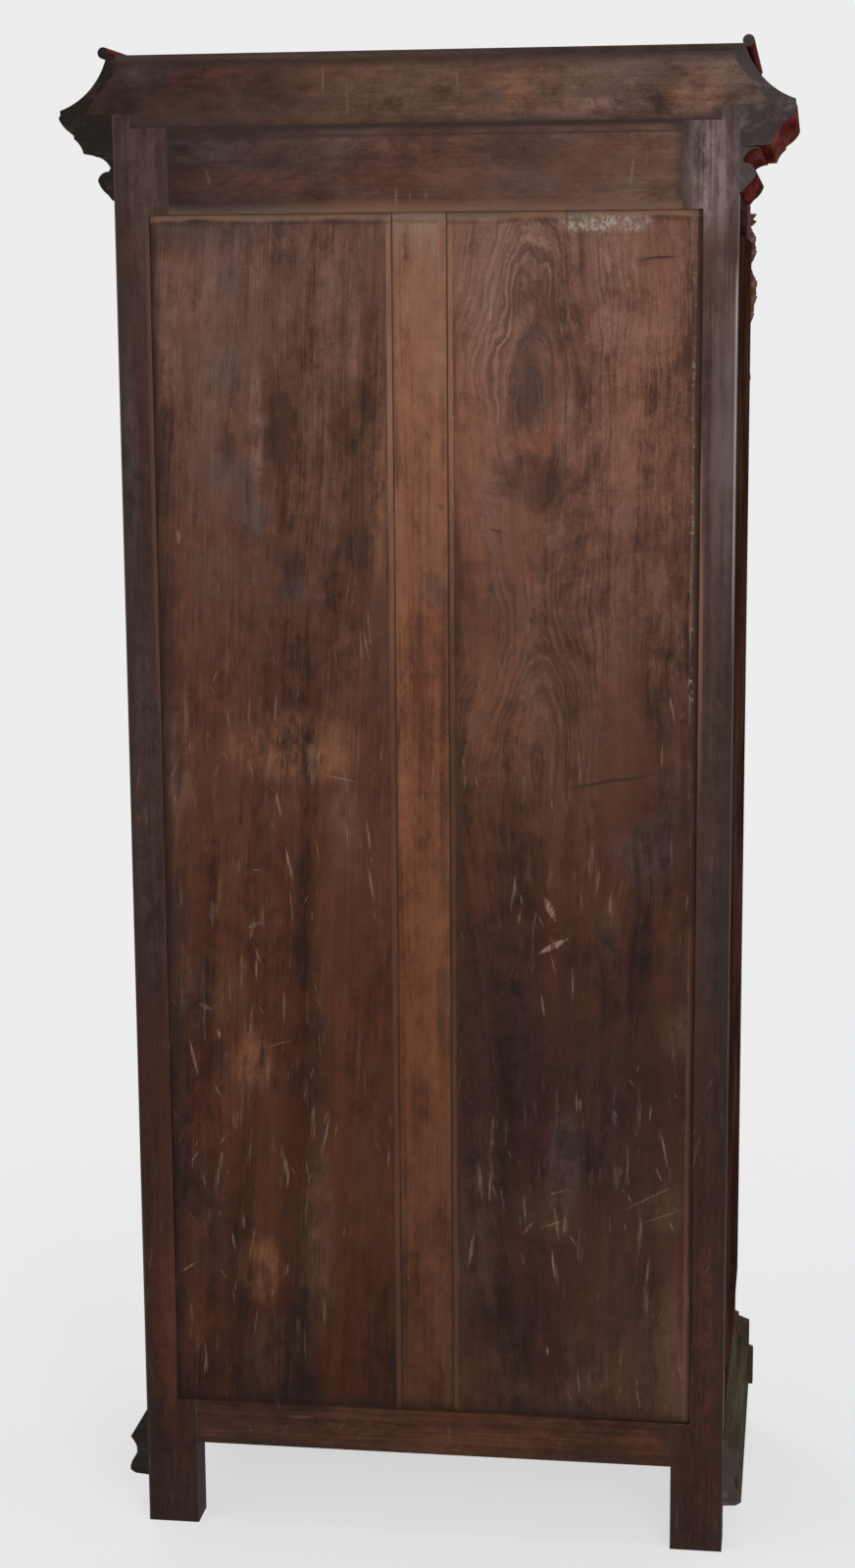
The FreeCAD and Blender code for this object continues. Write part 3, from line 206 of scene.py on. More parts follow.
class Timber(Finish):
    """Wood of one piece, with its grain along one axis."""

    def __init__(self, name, grain, seed):
        super().__init__(bpy.data.materials.new(name))
        parted = self.add("SeparateXYZ", None, {0: self.place()})
        self.x, self.y, self.z = ways = [parted, parted.other("Y"), parted.other("Z")]
        self.along = ways.pop("xyz".index(grain))
        self.across, self.deep = ways
        self.shift = (seed * 1.7, seed * 0.9, seed * 2.3)
        self.plain = self.joined(self.across, self.deep, self.along)
        self.figured = self.plain

    def joined(self, first, second, third):
        return self.add("CombineXYZ", None, {0: first, 1: second, 2: third})

    def layer(self, fine, run, detail=2, rough=0.5, figured=True):
        """Noise drawn out along the grain: features per metre across it and along it."""
        return self.noise(self.figured if figured else self.plain, (fine, fine, run), detail, rough, self.shift)

    def lean(self, slope):
        """Let the grain of an upright board lean sideways."""
        self.across = self.across + self.z * slope
        self.plain = self.figured = self.joined(self.across, self.deep, self.along)

    def part_round(self, knots):
        """Let the grain of an upright board flow round its knots."""
        across = self.across
        for knot_x, knot_z, size, push in knots:
            run = (self.z - knot_z) * 0.42
            off = across - knot_x
            near = 1 / (1 + (off * off + run * run) / (size * size))
            across = knot_x + off * (1 - near * near * push)
        self.figured = self.joined(across, self.deep, self.along)

    def mitre(self, side, low, high):
        """Turn the grain at the mitres of an upright frame, so that it runs along each member."""
        way, deep = (self.x, self.y) if side == "x" else (self.y, self.x)
        to_side = border(self, way, getattr(low, side), getattr(high, side))
        to_end = border(self, self.z, low.z, high.z)
        member = self.step(to_side - to_end, -0.0002, 0.0002)
        self.plain = self.figured = self.add("Mix", {"data_type": "VECTOR"}, {
            0: member, VECTOR_FROM: self.joined(way, deep, self.z), VECTOR_TO: self.joined(self.z, deep, way)},
            VECTOR_MIXED)

    def arch(self, eyes):
        """Let the grain of an upright board rise in long ovals round the eyes of its figure."""
        nearest, above = None, None
        side = self.step(self.x - eyes[0][0], -0.025, 0.025)
        for eye_x, eye_z, over, under in eyes:
            rise = self.z - eye_z
            run = self.sum("MAXIMUM", rise * over, rise * -under)
            run = run * run / (1 + run * run / 0.005)
            off = (self.x - eye_x) * (0.86 - side * 0.16)
            reach = (off * off + run) ** 0.5
            here = 0.15 + 0.85 * self.step(rise, -0.07, 0.0) * (1 - self.step(rise, 0.2, 0.26))
            above = here if above is None else self.sum("MAXIMUM", above, here)
            nearest = reach if nearest is None else self.add(
                "Math", {"operation": "SMOOTH_MIN"}, {0: nearest, 1: reach, 2: 0.025})
        wander = self.noise(self.plain, (18, 18, 7), 3, 0.55, self.shift)
        nearest = nearest + (wander - 0.5) * 0.034
        self.figured = self.joined(nearest, self.deep + side * 0.02, self.along)
        lines = self.add("TexNoise", {"noise_dimensions": "1D"}, {
            "W": nearest * 210, "Scale": 1, "Detail": 2, "Roughness": 0.55})
        near = 1 - self.step(nearest, 0.045, 0.092)
        return self.step(lines, 0.48, 0.6) * near * above


def border(finish, way, low, high):
    """Distance to the nearer of two edges."""
    return finish.sum("MINIMUM", way - low, high - way)


def spot(finish, x, z, middle_x, middle_z, broad, high, ragged):
    """Soft patch on an upright face, with a ragged edge."""
    across, up = (x - middle_x) / broad, (z - middle_z) / high
    return 1 - finish.step(across * across + up * up + ragged, 0.2, 1.5)


def stroke(finish, x, z, start_x, start_z, end_x, end_z, width):
    """Thin mark between two points of an upright face, pointed at both ends."""
    run, rise = end_x - start_x, end_z - start_z
    length = math.hypot(run, rise)
    out_x, out_z = x - (start_x + end_x) / 2, z - (start_z + end_z) / 2
    share = (out_x * run + out_z * rise) * (2 / length ** 2)
    across = (out_x * rise - out_z * run) * (2 / (length * width))
    return 1 - finish.step(abs(across) + share * share, 0.5, 1.15)


def scratches(finish, x, z, cell, lean, width, share):
    """Short random marks, at most one in each cell of an upright face."""
    point = finish.add("CombineXYZ", None, {0: x / cell[0], 1: z / cell[1]})
    cells = finish.add("TexVoronoi", {"voronoi_dimensions": "2D"}, {"Vector": point, "Scale": 1})
    turn = finish.add("SeparateColor", None, {0: cells.other("Color")})
    size, pick = turn.other("Green"), turn.other("Blue")
    offset = finish.add("VectorMath", {"operation": "SUBTRACT"}, {0: point, 1: cells.other("Position")})
    parted = finish.add("SeparateXYZ", None, {0: offset})
    along = parted.other("Y") * cell[1]
    across = parted * cell[0] + along * ((turn - 0.5) * lean)
    run = abs(along) / (cell[1] * (0.06 + 0.3 * size))
    out = abs(across) / (width * (0.5 + size)) + run * run
    return (1 - finish.step(out, 0.4, 1.3)) * finish.step(pick, 1 - share, 1.06 - share)


def tinged(tone, tinge):
    """A tone, channel by channel, times a tinge."""
    return tuple(part * share for part, share in zip(tone, tinge))


def old_board(name, grain, seed, tones, box, heights=(), knots=(), eyes=(), spots=(), strokes=(), smears=(),
              lean=0.0, marks=1.0, violet=0.5, orange=0.3, clouded=0.3, grained=1.0,
              sheen=0.78, shade_sweep=None, extra=None):
    """Raw old mahogany of the back: fibres, bands and figure, dirt and painted shade along its edges, scratches
    and worn arrises.

    Tones are the dark, middle and light of the grain; heights change them up the board, and the sweep
    across it is painted shade, one end darker than the other. Marks, violet, orange, clouded and grained
    weigh the random marks, tints and layers.
    """
    wood = Timber(name, grain, seed)
    if lean:
        wood.lean(lean)
    if knots:
        wood.part_round(knots)
    lines = wood.arch(eyes) if eyes else None
    x, z = wood.x, wood.z
    fibres = wood.layer(700, 13, 2, 0.6)
    hairs = wood.layer(260, 4, 2, 0.6)
    streaks = wood.layer(75, 2.0, 3, 0.6)
    bands = wood.layer(19, 0.9, 2, 0.55, figured=False)
    cloud = wood.noise(wood.plain, (7, 7, 4), 4, 0.62, wood.shift)
    mottle = wood.noise(wood.figured, (70, 70, 38), 5, 0.74, wood.shift)
    blotch = wood.noise(wood.figured, (19, 19, 12), 5, 0.64, (seed, 1, 7))
    grit = wood.noise(wood.plain, (420, 420, 300), 2, 0.6)
    tone = 0.5 + (bands - 0.5) * (0.9 * grained) + (streaks - 0.5) * ((0.9 - 0.3 * clouded) * grained)
    tone = tone + ((hairs - 0.5) * 0.55 + (fibres - 0.5) * 0.75) * grained
    tone = tone + (cloud - 0.5) * (0.8 + 0.5 * clouded) + (blotch - 0.5) * (0.4 + 0.8 * clouded)
    tone = tone + (mottle - 0.5) * (0.9 + 0.3 * clouded) + (grit - 0.5) * 0.5
    tone = tone + (cloud + bands - 1) * (1 - wood.step(z, 0.85, 1.25)) * clouded
    deep, body, light = tones
    wood.colour = wood.add("ValToRGB", {"stops": ((0.1, deep), (0.46, body), (0.95, light))}, {0: tone})
    warm = wood.step(wood.noise(wood.plain, (13, 13, 2.2), 3, 0.6, (seed, 5, 2)), 0.46, 0.66)
    wood.cover(warm * orange, tinged(body, ORANGE_TINGE))
    cool = wood.step(cloud * (1 - 0.5 * clouded) + blotch * (0.5 * clouded) + (streaks - 0.5) * 0.4, 0.44, 0.66)
    dull = wood.tinted(wood.step(z, 0.8, 1.4), tinged(body, OLIVE_TINGE), tinged(body, VIOLET_TINGE))
    wood.cover(cool * violet, dull)
    if lines is not None:
        wood.cover(lines * 0.5, tinged(deep, LINE_TINGE))
    if heights:
        wood.grade(z, heights)
    # painted shade across the board: one end darker, as light falling from the other side would leave it
    if shade_sweep:
        wood.grade(x, shade_sweep)
    ragged = (cloud - 0.5) * 3.5 + (streaks - 0.5) * 2.5 + (mottle - 0.5) * 1.5 + (blotch - 0.5) * 2.0
    broken = 0.4 + 0.6 * wood.step(mottle + (streaks - 0.5) * 0.6, 0.32, 0.68)
    vary = 0.35 + 1.3 * tone
    for *place, tint, strength in spots:
        patch = spot(wood, x, z, *place, ragged) * broken * strength
        wood.cover(patch, wood.scaled(tint, vary))
    for place in smears:
        wood.cover(stroke(wood, x, z + (cloud - 0.5) * 0.02, *place) * 0.8, SOOT)
    scars = scratches(wood, x, z, cell=(0.034, 0.08), lean=0.45, width=0.0014, share=0.32)
    nicks = scratches(wood, x + 0.013, z, cell=(0.019, 0.03), lean=1.4, width=0.0012, share=0.18)
    scuffs = wood.step(wood.noise(wood.plain, (95, 95, 15), 3, 0.6, (seed, 6, 3)), 0.58, 0.74)
    worn = wood.step(wood.noise(wood.plain, (6, 6, 4), 2, 0.5, (seed, 3, 1)), 0.38, 0.56)
    worn = worn * (1.25 - 0.75 * wood.step(z, 0.9, 1.35))
    scars = (scars * 0.55 + nicks * 0.45 + scuffs * 0.35) * worn * marks
    for *place, strength in strokes:
        scars = scars + stroke(wood, x, z, *place) * strength
    scars = wood.sum("MINIMUM", scars * (0.3 + 0.8 * wood.step(fibres, 0.42, 0.55)), 1)
    wood.cover(scars * 0.6, SCRATCH)
    low, high = box
    edge = wood.sum("MINIMUM", border(wood, x, low.x, high.x), border(wood, z, low.z, high.z))
    # darker within about 16 mm of the board's edges: dirt, and painted shade along them
    grime_and_shade = (1 - wood.step(edge + (cloud - 0.5) * 0.04, 0.001, 0.016)) * 0.5
    wood.cover(grime_and_shade, EDGE_GRIME_AND_SHADE)
    rounded, edges = wood.soft_edges(0.002)
    rub = edges * wood.step(streaks, 0.42, 0.58)
    wood.cover(rub * 0.65, RUBBED)
    if extra is not None:
        extra(wood, fibres, streaks, cloud)
    roughness = sheen - 0.1 * (1 - fibres) + 0.08 * scars
    height = fibres * 0.6 - scars * 0.9 + streaks * 1.5
    return wood.close(wood.surface(roughness, height, 0.0007, rounded, {"Specular IOR Level": 0.16}))


def polished(piece, grain, seed, tones, dust=0.0, end_tone=None, frame_box=None, gloss=0.16):
    """French-polished mahogany: fibres and ribbons under a worn coat, dirt and painted shade in the hollows."""
    wood = Timber(piece.replace("_", " ") + " polish", grain, seed)
    if frame_box is not None:
        wood.mitre(*frame_box)
    fibres = wood.layer(430, 8, 2, 0.6)
    pores = wood.layer(820, 30)
    ribbons = wood.layer(46, 2.4, 3, 0.6)
    cloud = wood.noise(wood.plain, (6, 6, 4), 3, 0.6, wood.shift)
    tone = 0.5 + (ribbons - 0.5) * 1.5 + (fibres - 0.5) * 0.9 + (cloud - 0.5) * 0.6
    deep, body, light = tones
    wood.colour = wood.add("ValToRGB", {"stops": ((0.12, deep), (0.5, body), (0.92, light))}, {0: tone})
    wood.cover(wood.step(pores, 0.56, 0.7) * 0.6, deep)
    rounded, edges = wood.soft_edges(0.0016)
    wear = wood.noise(wood.plain, (70, 70, 70), 3, 0.6, wood.shift)
    wood.cover(edges * wood.step(wear, 0.42, 0.6) * 0.55, light)
    # darker in the piece's own hollows by ambient occlusion: dirt and painted shade together
    grime_and_shade = wood.hollows(0.018)
    wood.cover(grime_and_shade * 0.6, HOLLOW_GRIME_AND_SHADE)
    roughness = 0.34 + 0.14 * cloud + 0.14 * grime_and_shade + 0.1 * (1 - fibres)
    if dust:
        up = wood.step(wood.facing("Z"), 0.1, 0.9)
        veil = (0.3 + 0.7 * up) * wood.step(wood.noise(wood.plain, (40, 40, 40), 4, 0.65), 0.3, 0.7) * dust
        wood.cover(veil, GREY_DUST)
        roughness = roughness + veil * 0.4
    if end_tone is not None:
        raw = wood.step(wood.facing("Y"), 0.75, 0.9) * wood.step(wood.y, 0.255, 0.2615)
        scraped = wood.noise(wood.place(), (50, 40, 75), 5, 0.72)
        scraped = wood.sum("MAXIMUM", wood.step(scraped, 0.48, 0.75), edges * wood.step(wear, 0.36, 0.55))
        end_grain = wood.tinted(scraped * 0.5, wood.tinted(wood.step(cloud, 0.35, 0.65) * 0.5, end_tone, SOOT),
                                tinged(end_tone, PALE_TINGE))
        wood.cover(raw, end_grain)
        roughness = roughness + raw * 0.35
    height = fibres * 0.5 - wood.step(pores, 0.55, 0.75) * 0.6 + cloud * 2
    shader = wood.surface(roughness, height, 0.0003, rounded, {
        "Coat Weight": gloss, "Coat Roughness": 0.14, "Specular IOR Level": 1.3 * gloss})
    return wood.close(shader)


def brass(name):
    """Old brass, brown in cloudy patches and rubbed on its arrises."""
    finish = Finish(bpy.data.materials.new(name))
    point = finish.place()
    cloud = finish.noise(point, (120, 120, 120), 4, 0.6)
    rub = finish.noise(point, (900, 900, 200), 2, 0.5)
    dark, body, light = BRASS
    finish.colour = finish.tinted(finish.step(cloud, 0.35, 0.65), dark, body)
    rounded, edges = finish.soft_edges(METAL_ARRIS)
    finish.cover(edges * 0.7, light)
    roughness = 0.3 + 0.25 * cloud + 0.08 * rub
    return finish.close(finish.surface(roughness, cloud + rub * 0.3, 0.0001, rounded, {"Metallic": 1}))


def steel(name):
    """Dull lock steel with brown spots."""
    finish = Finish(bpy.data.materials.new(name))
    point = finish.place()
    rust = finish.noise(point, (160, 160, 160), 4, 0.65)
    brushed = finish.noise(point, (60, 60, 1500), 2, 0.5)
    dark, body, light = STEEL
    finish.colour = finish.tinted(brushed, dark, body)
    stained = finish.step(rust, 0.52, 0.68)
    finish.cover(stained * 0.8, IRON_RUST)
    rounded, edges = finish.soft_edges(METAL_ARRIS)
    finish.cover(edges * 0.4, light)
    roughness = 0.34 + 0.15 * brushed + 0.3 * stained
    return finish.close(finish.surface(roughness, brushed + rust, 0.0001, rounded, {"Metallic": 0.9}))


def pane(name):
    """Old window glass, faintly wavy, with faint smears over it."""
    finish = Finish(bpy.data.materials.new(name))
    point = finish.place()
    wave = finish.noise(point, (9, 9, 5), 2, 0.4)
    bent = finish.add("Bump", None, {"Height": wave, "Distance": 0.001, "Strength": 0.6})
    clear = finish.add("BsdfTransparent", None, {0: CLEAR_GLASS})
    smear = finish.noise(point, (30, 30, 12), 4, 0.6)
    finish.colour = GLASS_SHINE
    glossy = finish.surface(0.04 + 0.1 * finish.step(smear, 0.5, 0.8), normal=bent, steady={"Metallic": 1})
    grazing = finish.add("LayerWeight", None, {"Blend": 0.5, "Normal": bent}, output="Facing")
    share = 0.04 + 0.9 * grazing ** 5 + 0.015 * finish.step(smear, 0.45, 0.75)
    return finish.close(finish.add("MixShader", None, {0: share, 1: clear, 2: glossy}))


# Dark, middle and light of each timber
RAW = ((0.032, 0.012, 0.007), (0.1, 0.042, 0.025), (0.205, 0.098, 0.061))
WARM = ((0.07, 0.027, 0.015), (0.15, 0.062, 0.034), (0.23, 0.105, 0.064))
DUSKY = ((0.022, 0.01, 0.007), (0.055, 0.027, 0.02), (0.115, 0.063, 0.05))
RED = ((0.036, 0.006, 0.004), (0.105, 0.019, 0.012), (0.205, 0.05, 0.027))
# Dark red of the sides and of the rear posts' side faces: painted shade, the tone these faces show in shade
SHADED_RED = ((0.012, 0.005, 0.003), (0.031, 0.013, 0.008), (0.075, 0.034, 0.021))
CRIMSON = ((0.046, 0.007, 0.006), (0.112, 0.021, 0.018), (0.195, 0.06, 0.048))
# Olive-dark of the foot's sides: painted shade, with a greenish reflection painted in
SHADED_OLIVE_FOOT = ((0.017, 0.012, 0.008), (0.046, 0.033, 0.02), (0.105, 0.082, 0.056))
FOOT_RED = ((0.02, 0.009, 0.006), (0.062, 0.029, 0.018), (0.13, 0.072, 0.047))
RED_BRIGHT = ((0.055, 0.009, 0.006), (0.15, 0.029, 0.018), (0.27, 0.07, 0.036))
INNER = ((0.09, 0.034, 0.016), (0.185, 0.078, 0.038), (0.29, 0.135, 0.07))
# Dirt, wear and end grain, and the tones of painted sheen, highlights and shade
DUST = (0.095, 0.058, 0.038)
SLATE = (0.058, 0.04, 0.038)
SOOT = (0.026, 0.014, 0.011)
CHALK = (0.42, 0.36, 0.3)
ORANGE = (0.215, 0.088, 0.043)
ROSE = (0.19, 0.1, 0.08)
OXBLOOD = (0.085, 0.026, 0.015)
# Raw end grain of the side mouldings' rear ends: the lit tone of the left runs, and the right runs' tone in
# painted shade
LIT_END_GREY = (0.06, 0.05, 0.048)
SHADED_END_GREY = (0.018, 0.016, 0.014)
# Pale violet-grey of the painted sheen at the top of the left rear post
PAINTED_TOP_SHEEN = (0.26, 0.195, 0.188)
# Dirt along the edges of the back's boards, with painted shade
EDGE_GRIME_AND_SHADE = (0.02, 0.012, 0.009)
SCRATCH = (0.31, 0.205, 0.145)
RUBBED = (0.22, 0.115, 0.075)
# Dirt in the hollows of the polished pieces, with painted shade
HOLLOW_GRIME_AND_SHADE = (0.016, 0.007, 0.005)
GREY_DUST = (0.095, 0.086, 0.064)
# Painted highlight on the panels' bevels, low and high on the board
LOW_BEVEL_HIGHLIGHT, HIGH_BEVEL_HIGHLIGHT = (0.105, 0.043, 0.022), (0.29, 0.138, 0.085)
# Pale band along the panels' heads: dust with a painted highlight
LEDGE_DUST_AND_HIGHLIGHT, LEDGE_GREY_AND_HIGHLIGHT = (0.25, 0.125, 0.072), (0.16, 0.108, 0.082)
BARE_RIM = (0.15, 0.058, 0.03)
PALE_HEAD = (0.25, 0.165, 0.125)
# Pale band along the middle board's head: dust with a painted highlight
HEAD_DUST_AND_HIGHLIGHT = (0.185, 0.125, 0.092)
# Pale band along the frieze's foot: dust with a painted highlight
FOOT_DUST_AND_HIGHLIGHT, FOOT_GREY_AND_HIGHLIGHT = (0.165, 0.08, 0.05), (0.095, 0.07, 0.056)
ARRIS_RUB = (0.205, 0.088, 0.048)
# Painted sheen and painted highlight of the left rear post
PAINTED_POST_SHEEN = (0.205, 0.147, 0.142)
PAINTED_ARRIS_HIGHLIGHT = (0.4, 0.34, 0.33)
POST_WORN = (0.13, 0.075, 0.055)
IRON_RUST = (0.1, 0.045, 0.02)
# Dark, middle and rubbed tones of the metals, and what the glass lets through and mirrors
BRASS = ((0.16, 0.09, 0.035), (0.5, 0.34, 0.13), (0.72, 0.55, 0.27))
STEEL = ((0.2, 0.195, 0.185), (0.36, 0.35, 0.33), (0.5, 0.49, 0.47))
CLEAR_GLASS, GLASS_SHINE = (0.94, 0.965, 0.95, 1), (0.55, 0.57, 0.56, 1)
# What a tone is multiplied by, channel by channel
ORANGE_TINGE = (1.5, 1.28, 1.0)
OLIVE_TINGE = (0.6, 0.68, 0.62)
VIOLET_TINGE = (0.55, 0.72, 0.9)
LINE_TINGE = (1.1, 1.3, 1.5)
PALE_TINGE = (3.0, 3.0, 3.0)
# Radius of the metal's arrises
METAL_ARRIS = 0.0006
# Edges across the back: the middle board's, and how far out those of the panels and the posts are
MIDDLE_EDGES = (-0.029, 0.039)
BOARD_EDGE = 0.329
POST_ARRIS = 0.3405
# Height of the dark line under the panels' heads
PANEL_TOP = 1.6965
# How tones change with the height, in steps of a place and a multiplier
KNOTTED_HEIGHTS = ((0.2, (0.305, 0.2, 0.114)), (0.75, (0.425, 0.275, 0.172)), (1.1, (0.55, 0.42, 0.365)),
                   (1.45, (0.85, 0.86, 0.91)), (1.68, (0.97, 1.07, 1.28)))
ARCHED_HEIGHTS = ((0.2, (0.34, 0.3, 0.27)), (0.62, (0.193, 0.134, 0.113)), (0.9, (0.38, 0.29, 0.235)),
                  (1.15, (0.7, 0.67, 0.68)), (1.45, (1.19, 1.18, 1.26)), (1.68, (1.33, 1.45, 1.69)))
MIDDLE_HEIGHTS = ((0.2, (0.37, 0.335, 0.27)), (0.7, (0.77, 0.62, 0.42)), (1.15, (0.92, 0.77, 0.66)),
                  (1.45, (1.12, 1.13, 1.14)), (1.68, (1.18, 1.24, 1.28)))
LEFT_POST_HEIGHTS = ((0.0, (0.58, 0.31, 0.13)), (0.3, (0.34, 0.207, 0.112)), (0.6, (0.365, 0.212, 0.12)),
                     (1.1, (0.45, 0.3, 0.245)), (1.4, (0.78, 0.74, 0.72)), (1.7, (1.06, 1.06, 1.06)))
RIGHT_POST_HEIGHTS = ((0.0, (0.38, 0.265, 0.163)), (0.3, (0.576, 0.353, 0.194)), (0.6, (0.586, 0.353, 0.194)),
                      (1.1, (0.62, 0.48, 0.4)), (1.7, (0.9, 0.77, 0.73)))

# Marks on the boards of the back. Each stroke: x and z of its start and its end, width, strength.
ARCHED_STROKES = (
    (-0.1477, 0.8647, -0.1629, 0.8317, 0.01, 0.9), (-0.1394, 0.7898, -0.1804, 0.8119, 0.0085, 1.0),
    (-0.1546, 0.812, -0.1668, 0.7968, 0.006, 0.7), (-0.1836, 0.7777, -0.1845, 0.723, 0.0026, 0.6),
    (-0.1439, 0.739, -0.1486, 0.7061, 0.0034, 0.5), (-0.1471, 0.4709, -0.1796, 0.4811, 0.003, 0.45),
    (-0.1394, 0.426, -0.1797, 0.4423, 0.003, 0.45), (-0.1611, 0.4593, -0.1674, 0.411, 0.006, 0.35),
    (-0.2446, 0.4531, -0.3194, 0.4939, 0.0024, 0.5), (-0.27, 0.4381, -0.3274, 0.4614, 0.0024, 0.45),
    (-0.1192, 0.4171, -0.1363, 0.4381, 0.006, 0.3), (-0.0633, 0.5159, -0.0678, 0.4595, 0.006, 0.4),
    (-0.0788, 0.5044, -0.0771, 0.4518, 0.003, 0.4), (-0.0583, 0.4226, -0.0486, 0.365, 0.006, 0.4),
    (-0.0347, 0.4134, -0.0375, 0.3399, 0.004, 0.4), (-0.152, 0.2672, -0.1527, 0.2549, 0.0036, 0.7),
    (-0.2317, 0.8721, -0.2303, 0.8412, 0.006, 0.35), (-0.3271, 0.8744, -0.3258, 0.8498, 0.0034, 0.8),
    (-0.3282, 1.1322, -0.3273, 1.0759, 0.004, 0.5), (-0.2948, 1.0641, -0.2936, 1.0263, 0.0034, 0.4),
    (-0.3062, 0.9429, -0.3073, 0.9047, 0.003, 0.4), (-0.0928, 0.4808, -0.0974, 0.4445, 0.0024, 0.4),
    (-0.3419, 0.5307, -0.3767, 0.5416, 0.0024, 0.4), (-0.1623, 0.7615, -0.1561, 0.7926, 0.002, 0.4),
    (-0.085, 1.6, -0.073, 1.52, 0.005, 0.6), (-0.3291, 1.374, -0.3268, 1.134, 0.004, 0.6),
)
KNOTTED_STROKES = (
    (0.1932, 0.9933, 0.1862, 0.9578, 0.0045, 1.0), (0.1823, 0.9237, 0.1739, 0.8781, 0.004, 0.9),
    (0.1778, 0.8703, 0.1733, 0.8205, 0.0022, 0.6), (0.2281, 1.035, 0.2203, 1.0049, 0.0022, 0.7),
    (0.1824, 1.0486, 0.18, 1.0147, 0.0018, 0.6), (0.1339, 1.0155, 0.0874, 1.0058, 0.003, 0.6),
    (0.1052, 1.0251, 0.1012, 0.9898, 0.0022, 0.5), (0.2323, 0.8136, 0.2145, 0.8233, 0.008, 0.5),
    (0.2255, 0.8899, 0.2148, 0.8901, 0.003, 0.8), (0.3337, 0.3457, 0.308, 0.3631, 0.0034, 0.7),
    (0.2614, 0.4055, 0.2572, 0.3783, 0.004, 0.9), (0.1892, 0.5109, 0.1851, 0.4753, 0.006, 0.6),
    (0.1426, 0.678, 0.1407, 0.6468, 0.0018, 0.6), (0.2122, 0.6562, 0.1773, 0.6675, 0.0028, 0.4),
    (0.2759, 0.68, 0.2716, 0.666, 0.006, 0.8), (0.1621, 0.508, 0.1572, 0.4724, 0.0026, 0.5),
    (0.3009, 0.2559, 0.2988, 0.2067, 0.003, 0.5), (0.1678, 0.2868, 0.1664, 0.2298, 0.002, 0.4),
    (0.2547, 1.1038, 0.2509, 1.0701, 0.003, 0.5), (0.0792, 1.2026, 0.0707, 1.1583, 0.003, 0.6),
    (0.1422, 0.3285, 0.1398, 0.28, 0.006, 0.4), (0.26, 0.7757, 0.2568, 0.7057, 0.0024, 0.4),
    (0.1028, 0.9784, 0.1009, 0.8874, 0.0022, 0.35), (0.3, 0.7122, 0.2808, 0.7049, 0.008, 0.4),
    (0.073, 1.228, 0.069, 1.175, 0.003, 0.7), (0.083, 1.205, 0.081, 1.16, 0.0026, 0.6),
    (0.3116, 1.324, 0.311, 1.304, 0.006, 0.9),
)
CORNICE_STROKES = (
    (0.1192, 1.8915, 0.1188, 1.8373, 0.0026, 0.45), (-0.2013, 1.8433, -0.2083, 1.8251, 0.003, 0.5),
    (-0.2493, 1.8582, -0.2551, 1.8502, 0.004, 0.4), (-0.1254, 1.8276, -0.126, 1.814, 0.003, 0.3),
    (0.0898, 1.8654, 0.0892, 1.8197, 0.004, 0.25), (-0.0435, 1.88, -0.045, 1.8403, 0.006, 0.2),
)
FRIEZE_STROKES = (
    (0.031, 1.7376, 0.0312, 1.7133, 0.005, 0.5), (0.0143, 1.7328, 0.0138, 1.7177, 0.003, 0.4),
    (-0.006, 1.7354, -0.0041, 1.7187, 0.005, 0.35), (-0.2551, 1.7739, -0.2508, 1.7284, 0.004, 0.4),
    (0.2646, 1.762, 0.259, 1.7404, 0.004, 0.3), (-0.2708, 1.7793, -0.2698, 1.7578, 0.0026, 0.3),
    (-0.2245, 1.7287, -0.277, 1.7315, 0.004, 0.3),
)
# Each spot: x and z of its centre, reach across and up, tint, strength.
ARCHED_SPOTS = (
    (-0.13, 1.383, 0.05, 0.03, SOOT, 0.72), (-0.134, 1.505, 0.026, 0.06, SLATE, 0.6),
    (-0.128, 1.498, 0.014, 0.04, SOOT, 0.6), (-0.136, 1.6, 0.04, 0.05, SLATE, 0.32),
    (-0.137, 1.135, 0.022, 0.06, SLATE, 0.41), (-0.265, 1.648, 0.01, 0.007, SOOT, 0.48),
    (-0.275, 1.47, 0.05, 0.17, ORANGE, 0.3), (-0.055, 1.45, 0.022, 0.25, ORANGE, 0.22),
    (-0.175, 1.44, 0.012, 0.06, ROSE, 0.45), (-0.271, 0.923, 0.043, 0.044, SLATE, 0.5),
    (-0.23, 0.833, 0.015, 0.049, DUST, 0.25), (-0.316, 0.688, 0.028, 0.041, DUST, 0.29),
    (-0.32, 0.764, 0.016, 0.051, SOOT, 0.44), (-0.173, 0.516, 0.02, 0.069, SLATE, 0.45),
    (-0.314, 0.249, 0.071, 0.101, DUST, 0.27), (-0.166, 0.227, 0.081, 0.071, DUST, 0.2),
    (-0.105, 1.095, 0.061, 0.1, ORANGE, 0.26), (-0.313, 1.015, 0.028, 0.074, SLATE, 0.27),
    (-0.219, 0.602, 0.048, 0.105, SOOT, 0.28), (-0.096, 0.697, 0.053, 0.091, SOOT, 0.24),
    (-0.154, 0.451, 0.049, 0.046, DUST, 0.22), (-0.297, 0.457, 0.044, 0.037, DUST, 0.2),
    (-0.065, 0.443, 0.027, 0.126, DUST, 0.17),
)
